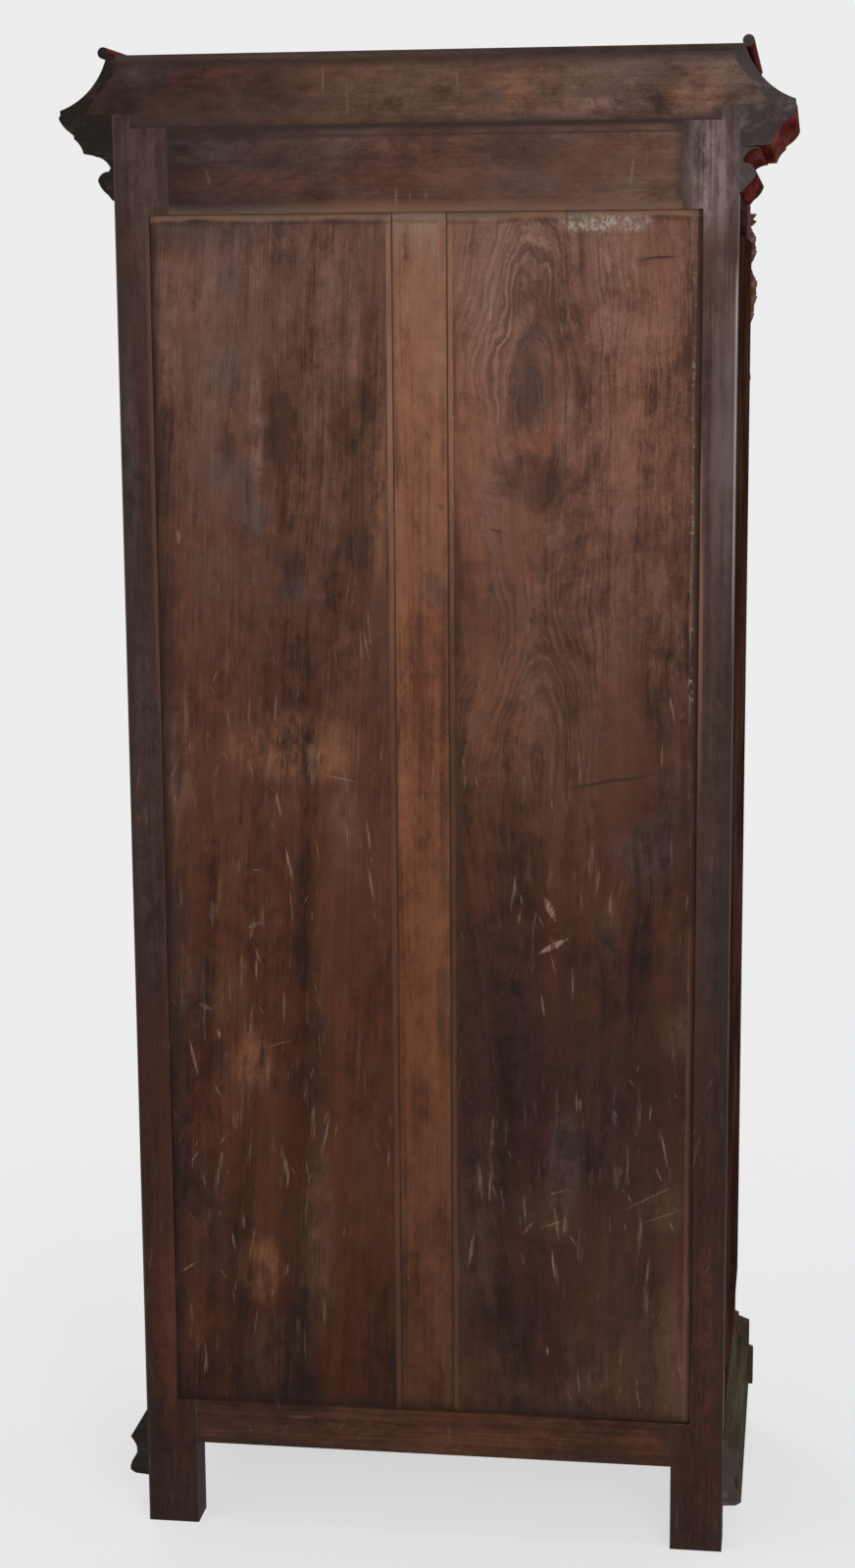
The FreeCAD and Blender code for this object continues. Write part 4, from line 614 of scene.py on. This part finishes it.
KNOTTED_SPOTS = (
    (0.275, 1.686, 0.073, 0.028, SLATE, 0.77), (0.195, 1.7, 0.042, 0.009, SLATE, 0.54),
    (0.296, 1.613, 0.035, 0.042, ROSE, 0.41), (0.24, 1.632, 0.017, 0.029, SLATE, 0.68),
    (0.28, 1.635, 0.007, 0.026, SOOT, 0.28), (0.248, 1.52, 0.038, 0.05, SLATE, 0.5),
    (0.316, 1.538, 0.019, 0.051, ROSE, 0.36), (0.253, 1.429, 0.021, 0.015, SOOT, 0.68),
    (0.249, 1.392, 0.039, 0.031, SLATE, 0.77), (0.28, 1.385, 0.011, 0.022, SOOT, 0.48),
    (0.21, 1.465, 0.009, 0.095, ROSE, 0.5), (0.196, 1.513, 0.008, 0.167, SOOT, 0.4),
    (0.182, 1.393, 0.006, 0.14, SOOT, 0.48), (0.213, 1.345, 0.024, 0.032, SLATE, 0.72),
    (0.17, 1.284, 0.02, 0.027, SOOT, 0.52), (0.154, 1.367, 0.019, 0.056, ORANGE, 0.26),
    (0.081, 1.355, 0.018, 0.101, SOOT, 0.44), (0.088, 1.566, 0.011, 0.073, ROSE, 0.41),
    (0.058, 1.354, 0.016, 0.144, ORANGE, 0.34), (0.165, 1.247, 0.023, 0.018, SLATE, 0.54),
    (0.316, 1.25, 0.029, 0.057, OXBLOOD, 0.36), (0.259, 1.269, 0.036, 0.035, SLATE, 0.45),
    (0.326, 1.0, 0.016, 0.42, SOOT, 0.55), (0.167, 0.97, 0.046, 0.039, OXBLOOD, 0.71),
    (0.324, 0.821, 0.023, 0.053, SOOT, 0.5), (0.286, 0.728, 0.056, 0.054, DUST, 0.23),
    (0.268, 0.641, 0.013, 0.034, SOOT, 0.8), (0.299, 0.461, 0.037, 0.058, SOOT, 0.5),
    (0.287, 0.379, 0.033, 0.047, SOOT, 0.5), (0.225, 0.359, 0.033, 0.049, ORANGE, 0.33),
    (0.151, 0.409, 0.028, 0.138, DUST, 0.33), (0.139, 0.647, 0.011, 0.153, SOOT, 0.4),
    (0.08, 0.543, 0.027, 0.123, SOOT, 0.3), (0.232, 0.636, 0.027, 0.054, ORANGE, 0.39),
    (0.284, 0.579, 0.05, 0.064, OXBLOOD, 0.49), (0.105, 0.941, 0.026, 0.07, DUST, 0.29),
    (0.162, 1.048, 0.085, 0.048, ORANGE, 0.51), (0.322, 1.027, 0.024, 0.087, ROSE, 0.27),
    (0.206, 0.24, 0.043, 0.052, DUST, 0.2), (0.317, 0.247, 0.025, 0.066, OXBLOOD, 0.32),
)
MIDDLE_SPOTS = (
    (-0.02, 0.92, 0.007, 0.1, SOOT, 0.65), (-0.018, 0.73, 0.01, 0.08, SOOT, 0.65),
    (0.022, 1.655, 0.004, 0.004, SOOT, 0.5), (-0.02, 1.352, 0.004, 0.005, SOOT, 0.9),
    (-0.01, 1.25, 0.02, 0.022, SLATE, 0.55), (0.005, 0.42, 0.04, 0.2, OXBLOOD, 0.45),
    (0.034, 1.42, 0.004, 0.04, SOOT, 0.5), (0.03, 1.1, 0.01, 0.2, ORANGE, 0.3),
)
CORNICE_SPOTS = (
    (0.3, 1.85, 0.16, 0.09, SOOT, 0.4), (0.174, 1.837, 0.038, 0.025, SOOT, 0.55),
    (0.336, 1.882, 0.038, 0.017, SLATE, 0.6), (0.019, 1.853, 0.106, 0.039, DUST, 0.5),
    (-0.114, 1.85, 0.027, 0.026, ORANGE, 0.4), (-0.328, 1.848, 0.04, 0.027, ORANGE, 0.5),
    (-0.295, 1.863, 0.038, 0.018, SOOT, 0.55), (0.255, 1.87, 0.049, 0.021, OXBLOOD, 0.45),
    (-0.201, 1.828, 0.054, 0.018, ROSE, 0.4), (0.092, 1.893, 0.055, 0.008, SLATE, 0.6),
)
FRIEZE_SPOTS = (
    (0.264, 1.786, 0.056, 0.017, SLATE, 0.5), (0.077, 1.769, 0.034, 0.016, SOOT, 0.5),
    (-0.131, 1.782, 0.068, 0.02, SOOT, 0.4), (-0.218, 1.776, 0.034, 0.02, OXBLOOD, 0.45),
    (0.006, 1.756, 0.089, 0.046, OXBLOOD, 0.35), (-0.265, 1.735, 0.054, 0.026, DUST, 0.45),
    (0.207, 1.74, 0.115, 0.02, OXBLOOD, 0.35), (-0.128, 1.74, 0.044, 0.023, SLATE, 0.35),
)


def board_rims(inner, sign):
    """Painted highlights on the bevels of a back panel along the middle board, and a pale band of dust and
    painted highlight along its head.
    """
    def paint(wood, fibres, streaks, cloud):
        # painted highlight on the bevel beside the middle board, paler higher up
        bevel_highlight = wood.line(wood.x, inner + sign * 0.0032, 0.0026, 0.0046)
        rim = wood.tinted(wood.step(wood.z, 1.0, 1.5), LOW_BEVEL_HIGHLIGHT, HIGH_BEVEL_HIGHLIGHT)
        wood.cover(bevel_highlight * (0.15 + 0.7 * fibres + (streaks - 0.4) * 0.8), rim)
        # pale band on the head's bevel: dust, and a painted highlight where the bevel catches the light
        ledge_dust_and_highlight = wood.step(wood.z + (cloud - 0.5) * 0.018, 1.6975, 1.703)
        dust = wood.tinted(wood.step(cloud + (streaks - 0.5) * 0.6, 0.4, 0.62), LEDGE_DUST_AND_HIGHLIGHT, LEDGE_GREY_AND_HIGHLIGHT)
        wood.cover(ledge_dust_and_highlight * 0.9, dust)
        under = wood.line(wood.z + (cloud - 0.5) * 0.016, PANEL_TOP, 0.0006, 0.004)
        wood.cover(under * wood.step(streaks, 0.38, 0.58) * 0.4, SOOT)
    return paint


def arched_rims(wood, fibres, streaks, cloud):
    """Painted highlights on the bevels of the arched board, and the chalky specks along its head and outer
    edge.
    """
    board_rims(MIDDLE_EDGES[0], -1)(wood, fibres, streaks, cloud)
    chips = wood.noise(wood.plain, (210, 210, 190), 3, 0.65)
    head = wood.line(wood.z, 1.693, 0.003, 0.014) * wood.line(wood.x, -0.222, 0.03, 0.066)
    edge = wood.line(wood.x, -BOARD_EDGE, 0.001, 0.0045) * wood.step(wood.z, 0.95, 1.15)
    specks = head * wood.step(chips, 0.5, 0.62) + edge * wood.step(chips, 0.55, 0.65) * 0.7 + head * 0.25
    wood.cover(wood.sum("MINIMUM", specks, 1) * 0.6, CHALK)
    rim = wood.line(wood.x + (cloud - 0.5) * 0.004, -BOARD_EDGE, 0.0012, 0.0034)
    wood.cover(rim * wood.step(streaks, 0.3, 0.6) * 0.55, BARE_RIM)
    seam = wood.line(wood.x + (cloud - 0.5) * 0.012, -0.3335, 0.0008, 0.0034)
    wood.cover(seam * wood.step(wood.z, 0.95, 1.15) * 0.75, SOOT)
    joint = wood.line(wood.x + (cloud - 0.5) * 0.006, -0.1745, 0.0004, 0.0022)
    wood.cover(joint * wood.step(streaks, 0.35, 0.55) * 0.4, SOOT)


def middle_rims(wood, fibres, streaks, cloud):
    """Pale head of the middle board with a band of dust and painted highlight, and its dark seams."""
    pale = wood.step(wood.z + (streaks - 0.5) * 0.14, 1.645, 1.705)
    wood.cover(pale * 0.5, PALE_HEAD)
    # pale band at the head: dust, and a painted highlight where the bevel catches the light
    ledge_dust_and_highlight = wood.step(wood.z, 1.7, 1.702)
    wood.cover(ledge_dust_and_highlight * 0.85, HEAD_DUST_AND_HIGHLIGHT)
    under = wood.line(wood.z + (cloud - 0.5) * 0.008, 1.6975, 0.0008, 0.0036)
    wood.cover(under * wood.step(streaks, 0.35, 0.6) * 0.35, SOOT)
    seam = 1 - wood.step(border(wood, wood.x, *MIDDLE_EDGES), 0.0006, 0.0024)
    wood.cover(seam * 0.8, SOOT)


def frieze_rims(wood, fibres, streaks, cloud):
    """Foot of the frieze board, pale with dust and a painted highlight, and its dark head line."""
    # pale band along the foot: dust, and a painted highlight where the rail's lower edge catches the light
    foot = 1 - wood.step(wood.z + (cloud - 0.5) * 0.02, 1.709, 1.724)
    dust = wood.tinted(wood.step(cloud, 0.42, 0.6), FOOT_DUST_AND_HIGHLIGHT, FOOT_GREY_AND_HIGHLIGHT)
    wood.cover(foot * 0.75, dust)
    seam = wood.line(wood.z, 1.799, 0.0008, 0.0022)
    head = wood.step(wood.z, 1.805, 1.809)
    wood.cover(wood.sum("MAXIMUM", seam * 0.6, head * 0.9), SOOT)


def cornice_rims(wood, fibres, streaks, cloud):
    """Dark gap under the cornice board, and its sooty top edge."""
    foot = 1 - wood.step(wood.z + (cloud - 0.5) * 0.004, 1.8118, 1.815)
    top = wood.step(wood.z + (cloud - 0.5) * 0.01, 1.88, 1.89)
    wood.cover(wood.sum("MAXIMUM", foot * 0.9, top * 0.6), SOOT)


def back_finishes():
    """One timber for each board of the back."""
    boards = {
        "back_panel_left": dict(
            name="board with arched figure", grain="z", seed=3.1, tones=RAW, heights=ARCHED_HEIGHTS,
            eyes=((-0.134, 1.502, 0.3, 0.22), (-0.138, 1.035, 0.31, 0.12)),
            spots=ARCHED_SPOTS, strokes=ARCHED_STROKES,
            smears=((-0.26, 1.649, -0.312, 1.6515, 0.004), (-0.164, 1.003, -0.296, 1.024, 0.006),
                    (-0.078, 1.326, -0.096, 1.322, 0.003), (-0.16, 0.523, -0.186, 0.527, 0.01)),
            marks=0.9, violet=0.35, orange=0.55, clouded=0.7, extra=arched_rims),
        "back_panel_right": dict(
            name="board with two knots", grain="z", seed=7.7, tones=RAW, heights=KNOTTED_HEIGHTS,
            knots=((0.27, 1.4, 0.045, 0.85), (0.168, 1.262, 0.03, 0.85)),
            spots=KNOTTED_SPOTS, strokes=KNOTTED_STROKES,
            lean=0.05, violet=0.55, orange=0.4, clouded=1.0, extra=board_rims(MIDDLE_EDGES[1], 1)),
        "back_muntin": dict(
            name="pale middle board", grain="z", seed=11.3, tones=WARM, heights=MIDDLE_HEIGHTS,
            spots=MIDDLE_SPOTS, marks=0.5, violet=0.25, orange=0.3, clouded=0.6, extra=middle_rims),
        "back_frieze_rail": dict(
            name="frieze board", grain="x", seed=2.4, tones=DUSKY,
            heights=((1.6, (1.2, 1.15, 1.1)), (1.9, (1.3, 1.3, 1.3))),
            # the frieze board darkens towards +x: painted shade
            shade_sweep=((-0.31, (1.1, 1.1, 1.1)), (0.05, (0.96, 0.96, 0.96)), (0.31, (0.295, 0.25, 0.22))),
            spots=FRIEZE_SPOTS, strokes=FRIEZE_STROKES,
            marks=0.3, violet=0.45, orange=0.4, clouded=1.2, grained=0.45, extra=frieze_rims),
        "back_bottom_rail": dict(
            name="low rail", grain="x", seed=5.9, tones=DUSKY,
            heights=((0.0, (1.0, 0.82, 0.6)), (1.9, (1.0, 0.82, 0.6))),
            # the low rail darkens towards +x: painted shade
            shade_sweep=((-0.31, (1.16, 1.0, 0.84)), (0.31, (0.53, 0.455, 0.44))), marks=0.4, violet=0.15),
        "cornice_back_board": dict(
            name="cornice board", grain="x", seed=9.2, tones=RAW,
            heights=((1.6, (0.85, 0.85, 0.85)), (1.9, (0.95, 1.0, 1.05))),
            # the cornice board darkens towards +x and pales and greys towards -x: painted shade
            shade_sweep=((-0.42, (1.01, 1.39, 1.7)), (-0.05, (0.89, 0.91, 0.91)), (0.42, (0.25, 0.235, 0.22))),
            spots=CORNICE_SPOTS, strokes=CORNICE_STROKES,
            marks=0.3, violet=0.6, clouded=1.4, grained=0.4, extra=cornice_rims),
        "dust_board": dict(name="top board", grain="x", seed=4.4, tones=DUSKY, marks=0.4),
    }
    return {node: old_board(box=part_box(node), **board) for node, board in boards.items()}


def post_finish(side, seed):
    """Rear post: raw and dark behind, with a rubbed inner arris; the left one has a painted greyish sheen and a
    painted highlight along the outer arris, the right one wear there.
    """
    # The left post gets a painted sheen and a painted highlight
    sheen_painted = side == "left"
    sign = -1 if sheen_painted else 1

    def paint(wood, fibres, streaks, cloud):
        inner = wood.line(wood.x, sign * POST_ARRIS, 0.0014, 0.0036)
        warmth = inner * wood.step(wood.z, 0.9, 1.2) * (1 - wood.step(wood.z, 1.66, 1.7))
        warmth = warmth * wood.step(streaks, 0.4, 0.56) * (0.6 if sheen_painted else 0.2)
        wood.cover(warmth, ARRIS_RUB)
        arris = wood.step(abs(wood.x), 0.377, 0.3788)
        if sheen_painted:
            # painted sheen: pale greyish-violet clouds on the back face towards the outer arris, stronger
            # higher up
            behind = wood.step(wood.facing("Y"), 0.4, 0.7)
            painted_sheen = wood.step(wood.z, 1.05, 1.45) * (0.35 + 0.65 * wood.step(wood.z, 1.55, 1.72))
            painted_sheen = painted_sheen * wood.step(cloud + (streaks - 0.5) * 0.7, 0.4, 0.62)
            painted_sheen = painted_sheen * wood.step(abs(wood.x), 0.318, 0.35)
            wood.cover(painted_sheen * 0.8 * behind, PAINTED_POST_SHEEN)
            # painted highlight along the outer arris, broken up by the streaks
            painted_glint = arris * wood.step(wood.z, 1.15, 1.32) * (1 - wood.step(wood.z, 1.6, 1.66))
            painted_glint = painted_glint * (0.2 + 0.5 * wood.step(streaks, 0.4, 0.6))
            wood.cover(painted_glint, PAINTED_ARRIS_HIGHLIGHT)
        else:
            wood.cover(arris * wood.step(streaks, 0.36, 0.52) * 0.25, POST_WORN)
        # the side face of the post in the sides' dark red: painted shade
        polish = wood.tinted(streaks, SHADED_RED[0], SHADED_RED[1])
        beside = wood.step(abs(wood.facing("X")), 0.6, 0.9) * wood.step(abs(wood.x), 0.378, 0.3795)
        wood.cover(beside, polish)

    veil = 0.18 if sheen_painted else 0.42
    # On the left post the spot at the top is a pale painted sheen
    spots = (
        (sign * 0.352, 1.755, 0.034, 0.07, PAINTED_TOP_SHEEN if sheen_painted else SLATE, 0.45),
        (sign * 0.37, 1.4, 0.012, 0.2, SLATE, 0.7), (sign * 0.36, 1.15, 0.03, 0.15, SLATE, veil),
        (sign * 0.36, 0.75, 0.03, 0.25, SOOT, 0.3), (sign * 0.36, 0.95, 0.03, 0.22, SLATE, veil),
        (sign * 0.355, 0.3, 0.03, 0.15, OXBLOOD, 0.35), (sign * 0.35, 0.04, 0.04, 0.05, SOOT, 0.4),
    )
    return old_board(
        f"rear post {side}", "z", seed, DUSKY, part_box(f"rear_post_{side}"),
        LEFT_POST_HEIGHTS if sheen_painted else RIGHT_POST_HEIGHTS, spots=spots, clouded=0.7, marks=0.3, violet=0.75,
        orange=0.45, sheen=0.62 if sheen_painted else 0.75, extra=paint)


# Pieces that stand once, and the inside: node, grain, seed and tones
SINGLE_PIECES = (
    ("front_top_rail", "x", 12.0, RED), ("front_bottom_rail", "x", 13.0, RED),
    ("door_hinge_stile", "z", 14.0, RED), ("door_lock_stile", "z", 15.0, RED),
    ("door_top_rail", "x", 16.0, RED), ("door_middle_rail", "x", 17.0, RED),
    ("door_bottom_rail", "x", 18.0, RED), ("door_panel", "x", 19.0, RED_BRIGHT),
    ("shelf_battens", "z", 22.0, INNER), ("shelf_cleats", "y", 23.0, INNER),
)
LEVEL_BOARDS = ("bottom_board", "carcass_top", "shelf_lower", "shelf_middle", "shelf_upper")
# The same of either side, with dust and gloss
SIDE_PIECES = (
    # the plinth collars' olive-dark is painted shade with a painted greenish reflection
    ("front_post", "z", 0, RED, 0.1, 0.16), ("plinth_collar", "z", 0, SHADED_OLIVE_FOOT, 0.4, 0.0),
    ("front_foot", "z", 2, FOOT_RED, 0.3, 0.16), ("side_panel", "z", 1, RED, 0.0, 0.05),
    # side rails and side mouldings in dark red: painted shade
    ("side_top_rail", "y", 3, SHADED_RED, 0.0, 0.0), ("side_bottom_rail", "y", 4, SHADED_RED, 0.0, 0.0),
    ("side_moulding", "z", 5, SHADED_RED, 0.0, 0.0),
)
# Mouldings: node, seed, tones and gloss of the front one, tones of the side ones, dust
MOULDINGS = (
    ("bed_moulding", 1.2, RED_BRIGHT, 0.16, CRIMSON, 0.0), ("corona", 2.5, RED_BRIGHT, 0.16, CRIMSON, 0.0),
    # the base moulding's side runs are olive-dark: painted shade with a painted greenish reflection
    ("cove", 3.8, RED_BRIGHT, 0.16, CRIMSON, 0.0), ("base_moulding", 6.1, FOOT_RED, 0.1, SHADED_OLIVE_FOOT, 0.5),
)
# Grain and end-grain tone of each run; the right runs' end grain is darker as painted shade
MOULDING_RUNS = {"front": ("x", None), "left": ("y", LIT_END_GREY), "right": ("y", SHADED_END_GREY)}


def polished_finishes():
    """Timber of the front, the door, the sides, the mouldings and the inside."""
    finishes = {node: polished(node, grain, seed, tones) for node, grain, seed, tones in SINGLE_PIECES}
    finishes.update(dict.fromkeys(LEVEL_BOARDS, polished("shelf", "x", 21.0, INNER)))
    finishes["door_beads"] = polished("door_beads", "z", 20.0, RED, frame_box=("x", *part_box("door_beads")))
    for piece, seed, front_tones, front_gloss, side_tones, dust in MOULDINGS:
        for end, (grain, end_tone) in MOULDING_RUNS.items():
            node = f"{piece}_{end}"
            tones, gloss = (front_tones, front_gloss) if end == "front" else (side_tones, 0.0)
            finishes[node] = polished(node, grain, seed + len(end), tones, dust, end_tone, gloss=gloss)
    for side, first in (("left", 4.0), ("right", 8.0)):
        for piece, grain, seed, tones, dust, gloss in SIDE_PIECES:
            node = f"{piece}_{side}"
            frame_box = ("y", *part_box(node)) if piece == "side_moulding" else None
            finishes[node] = polished(node, grain, first + seed, tones, dust, frame_box=frame_box, gloss=gloss)
    return finishes


def paint_nodes():
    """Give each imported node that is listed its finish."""
    finishes = {**back_finishes(), **polished_finishes()}
    finishes["rear_post_left"] = post_finish("left", 25.0)
    finishes["rear_post_right"] = post_finish("right", 27.0)
    brasses = ("escutcheon", "hinge_door_leaves", "hinge_post_leaves", "key")
    finishes.update(dict.fromkeys(brasses, brass("old brass")))
    finishes.update(dict.fromkeys(("lock_bolt", "lock_case"), steel("lock steel")))
    finishes["door_glass"] = pane("old window glass")
    for name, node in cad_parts.items():
        if name in finishes:
            node.data.materials.clear()
            node.data.materials.append(finishes[name])


# Backdrop and floor: what is seen, and the floor's colour for the light that it sends back
WHITE = (1, 1, 1, 1)
BACKDROP = (0.847, 0.847, 0.847, 1)
FLOOR_SPECKS = (0.19, 0.19, 0.19), (0.21, 0.21, 0.21)
FLOOR_BOUNCE = (0.75, 0.75, 0.75, 1)
ROOM_LIGHT = 0.42
FLOOR_GLOW = 0.74
FLOOR_RADIUS = 4
FLOOR_CORNERS = 64
LAMP_AIM = Vector((0, 0, 1.05))
# Place, watts and size of each lamp
LAMPS = {
    "key": ((-1.5, 3.5, 1.9), 70, 1.2), "fill": ((2.4, 2.8, 2.0), 20, 1.8),
    "front key": ((2.2, -3.4, 2.6), 70, 1.5), "front fill": ((-2.8, -2.4, 1.8), 24, 1.8),
    "overhead": ((0.0, 0.0, 4.2), 45, 2.0),
}


def seen_or_mirrored(finish):
    """1 for what the camera, a mirror or a pane shows, 0 for the light that falls on the cabinet."""
    camera = finish.add("LightPath", output="Is Camera Ray")
    mirrored = finish.sum("MAXIMUM", camera.other("Is Glossy Ray"), camera.other("Is Transmission Ray"))
    return finish.sum("MAXIMUM", camera, mirrored)


def lay_floor():
    """Pale round floor that keeps the shadow and fades into the backdrop."""
    floor = Finish(bpy.data.materials.new("pale floor"))
    point = floor.add("SeparateXYZ", None, {0: floor.place()})
    away = (point * point + point.other("Y") * point.other("Y")) ** 0.5
    speck = floor.noise(floor.place(), (3, 3, 3), 3, 0.5)
    lit = floor.add("BsdfDiffuse", None, {0: floor.tinted(speck, *FLOOR_SPECKS)})
    glow = floor.add("Emission", None, {0: BACKDROP, 1: FLOOR_GLOW})
    pale = floor.add("AddShader", None, {0: lit, 1: glow})
    plain = floor.add("BsdfDiffuse", None, {0: FLOOR_BOUNCE})
    shown = floor.add("MixShader", None, {0: seen_or_mirrored(floor), 1: plain, 2: pale})
    open_air = floor.add("BsdfTransparent")
    edge = floor.add("MixShader", None, {0: floor.step(away, 0.9, 2.6), 1: shown, 2: open_air})
    mesh = bpy.data.meshes.new("floor")
    turns = [math.tau * corner / FLOOR_CORNERS for corner in range(FLOOR_CORNERS)]
    rim = [(FLOOR_RADIUS * math.cos(turn), FLOOR_RADIUS * math.sin(turn), 0) for turn in turns]
    mesh.from_pydata(rim, [], [tuple(range(FLOOR_CORNERS))])
    mesh.materials.append(floor.close(edge))
    disc = bpy.data.objects.new("floor", mesh)
    bpy.context.scene.collection.objects.link(disc)


def light_room():
    """Soft lamps all round, and a plain pale backdrop."""
    scene = bpy.context.scene
    scene.world = scene.world or bpy.data.worlds.new("room")
    room = Finish(scene.world)
    backdrop = room.add("Background", None, {0: BACKDROP, 1: 1})
    soft = room.add("Background", None, {0: WHITE, 1: ROOM_LIGHT})
    mixed = room.add("MixShader", None, {0: seen_or_mirrored(room), 1: soft, 2: backdrop})
    room.add("OutputWorld", None, {0: mixed})
    for name, (stand, watts, size) in LAMPS.items():
        lamp = bpy.data.lights.new(name, "AREA")
        lamp.energy = watts
        lamp.size = size
        holder = bpy.data.objects.new(name, lamp)
        holder.location = stand
        holder.rotation_euler = (LAMP_AIM - Vector(stand)).to_track_quat("-Z", "Y").to_euler()
        scene.collection.objects.link(holder)


def set_camera():
    """Camera where the photograph was taken from: behind the cabinet, a little to its side, looking down."""
    right = Vector((-0.99013703, -0.13992165, -0.00711287))
    down = Vector((-0.0179718, 0.17719692, -0.98401131))
    ahead = Vector((0.13894486, -0.97417821, -0.17796387))
    camera = bpy.data.cameras.new("camera")
    camera.sensor_fit = "VERTICAL"
    camera.sensor_height = 36
    camera.lens = 62.067
    holder = bpy.data.objects.new("camera", camera)
    holder.matrix_world = Matrix.Translation((-0.4723, 3.5601, 1.6093)) @ Matrix(
        (right, -down, -ahead)).transposed().to_4x4()
    bpy.context.scene.collection.objects.link(holder)
    bpy.context.scene.camera = holder


# Half width of the carving, as a share of the console's, at shares of its height
CONSOLE_WIDTHS = (
    (0, 0.55), (0.012, 0.72), (0.05, 0.86), (0.1, 0.8), (0.14, 0.68), (0.195, 0.76), (0.29, 0.8), (0.42, 0.9),
    (0.56, 1.03), (0.63, 0.99), (0.69, 0.82), (0.735, 0.95), (0.8, 1.03), (0.885, 0.98), (0.92, 0.88),
    (0.955, 1.04), (0.967, 0.96), (1.0, 1.0),
)
CONSOLE_ROWS, CONSOLE_COLUMNS = 320, 41
# Slack in height at an edge's ends, and the rise below which an edge is level
SLACK, LEAST_RISE = 1e-5, 1e-6
# Shares of the height at which the leaves start
LEAF_TIERS = (0.0, 0.145, 0.31, 0.42, 0.52, 0.61, 0.69, 0.785, 0.87, 0.92, 1.0)


def between(points, share):
    """Value at a share of a line given by its points."""
    for (first, start), (second, end) in zip(points, points[1:]):
        if first <= share <= second:
            return start + (end - start) * (share - first) / (second - first)
    return points[-1][1]


def leaf(aside, rise):
    """Shares by which a leaf stands out and is broad; aside goes from -1 to 1 and rise from 0 to 1."""
    fall = abs(aside)
    lobe = 0.5 + 0.5 * math.cos((rise + 0.55 * fall) * math.tau)
    curl = 0.16 * rise ** 3 * (1 - 0.5 * fall)
    vein = 0.13 * math.exp(-(aside / 0.085) ** 2)
    ribs = 0.07 * (0.5 + 0.5 * math.cos((fall * 4.2 - rise * 1.1) * math.tau))
    furrow = 0.22 * math.exp(-((fall - 0.56 + 0.08 * rise) / 0.1) ** 2)
    body = 1.02 - 0.1 * fall ** 6
    carved = body + curl - vein - ribs * (0.4 + fall) - furrow * (1 - rise) - 0.08 * lobe * fall
    return min(max(carved, 0.12), 1.07), 1 - 0.4 * max(0.0, fall - 0.75) * lobe


def carve_console(side):
    """Acanthus console: tiers of ribbed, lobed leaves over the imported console's own outline."""
    node = f"console_{side}"
    sign = 1 if side == "right" else -1
    low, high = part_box(node)
    outward = Vector((sign, -1, 0)).normalized()
    across = Vector((sign, 1, 0)).normalized()
    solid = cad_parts[node].data
    corners = [vertex.co for vertex in solid.vertices]
    seat = min(corner.dot(outward) for corner in corners)
    sides = [corner.dot(across) for corner in corners]
    middle = (min(sides) + max(sides)) / 2
    broad = (max(sides) - min(sides)) / 2
    height = high.z - low.z
    lines = [[corners[index] for index in edge.vertices] for edge in solid.edges]

    def reach_at(z):
        """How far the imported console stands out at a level."""
        reach = 0.0
        for first, second in lines:
            rise = second.z - first.z
            if min(first.z, second.z) - SLACK <= z <= max(first.z, second.z) + SLACK:
                share = 0.5 if abs(rise) < LEAST_RISE else (z - first.z) / rise
                reach = max(reach, first.lerp(second, min(max(share, 0), 1)).dot(outward) - seat)
        return reach

    mesh = bmesh.new()
    grid = []
    for row in range(CONSOLE_ROWS + 1):
        share = row / CONSOLE_ROWS
        z = low.z + min(max(share, 0.001), 0.999) * height
        reach = reach_at(z)
        tier = max(level for level in LEAF_TIERS if level <= share)
        above = min([level for level in LEAF_TIERS if level > share] or [1.02])
        rise = (share - tier) / (above - tier)
        half = broad * between(CONSOLE_WIDTHS, share) * (0.96 + 0.1 * math.sin(rise * math.pi))
        line = []
        for column in range(CONSOLE_COLUMNS):
            aside = min(max(-1.05 + 2.1 * column / (CONSOLE_COLUMNS - 1), -1), 1)
            carved, breadth = leaf(aside, rise)
            out = 0.0 if column in (0, CONSOLE_COLUMNS - 1) else reach * carved
            line.append(mesh.verts.new(
                outward * (seat + out) + across * (middle + aside * half * breadth) + Vector((0, 0, z))))
        grid.append(line)
    for upper, lower in zip(grid[1:], grid):
        for column in range(CONSOLE_COLUMNS - 1):
            mesh.faces.new((lower[column], lower[column + 1], upper[column + 1], upper[column]))
        mesh.faces.new((lower[-1], lower[0], upper[0], upper[-1]))
    mesh.faces.new(grid[0][::-1])
    mesh.faces.new(grid[-1])
    bmesh.ops.recalc_face_normals(mesh, faces=mesh.faces)
    data = bpy.data.meshes.new(f"carved_{node}")
    mesh.to_mesh(data)
    mesh.free()
    for polygon in data.polygons:
        polygon.use_smooth = len(polygon.vertices) == 4
    data.materials.append(polished(f"carved_console_{side}", "z", 30.0 + sign, RED, gloss=0.06))
    piece = bpy.data.objects.new(f"carved_{node}", data)
    bpy.context.scene.collection.objects.link(piece)
    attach(piece, "cabinet")
    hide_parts(node)


paint_nodes()
for console_side in ("left", "right"):
    carve_console(console_side)
light_room()
lay_floor()
set_camera()
bpy.context.scene.view_settings.view_transform = "Standard"
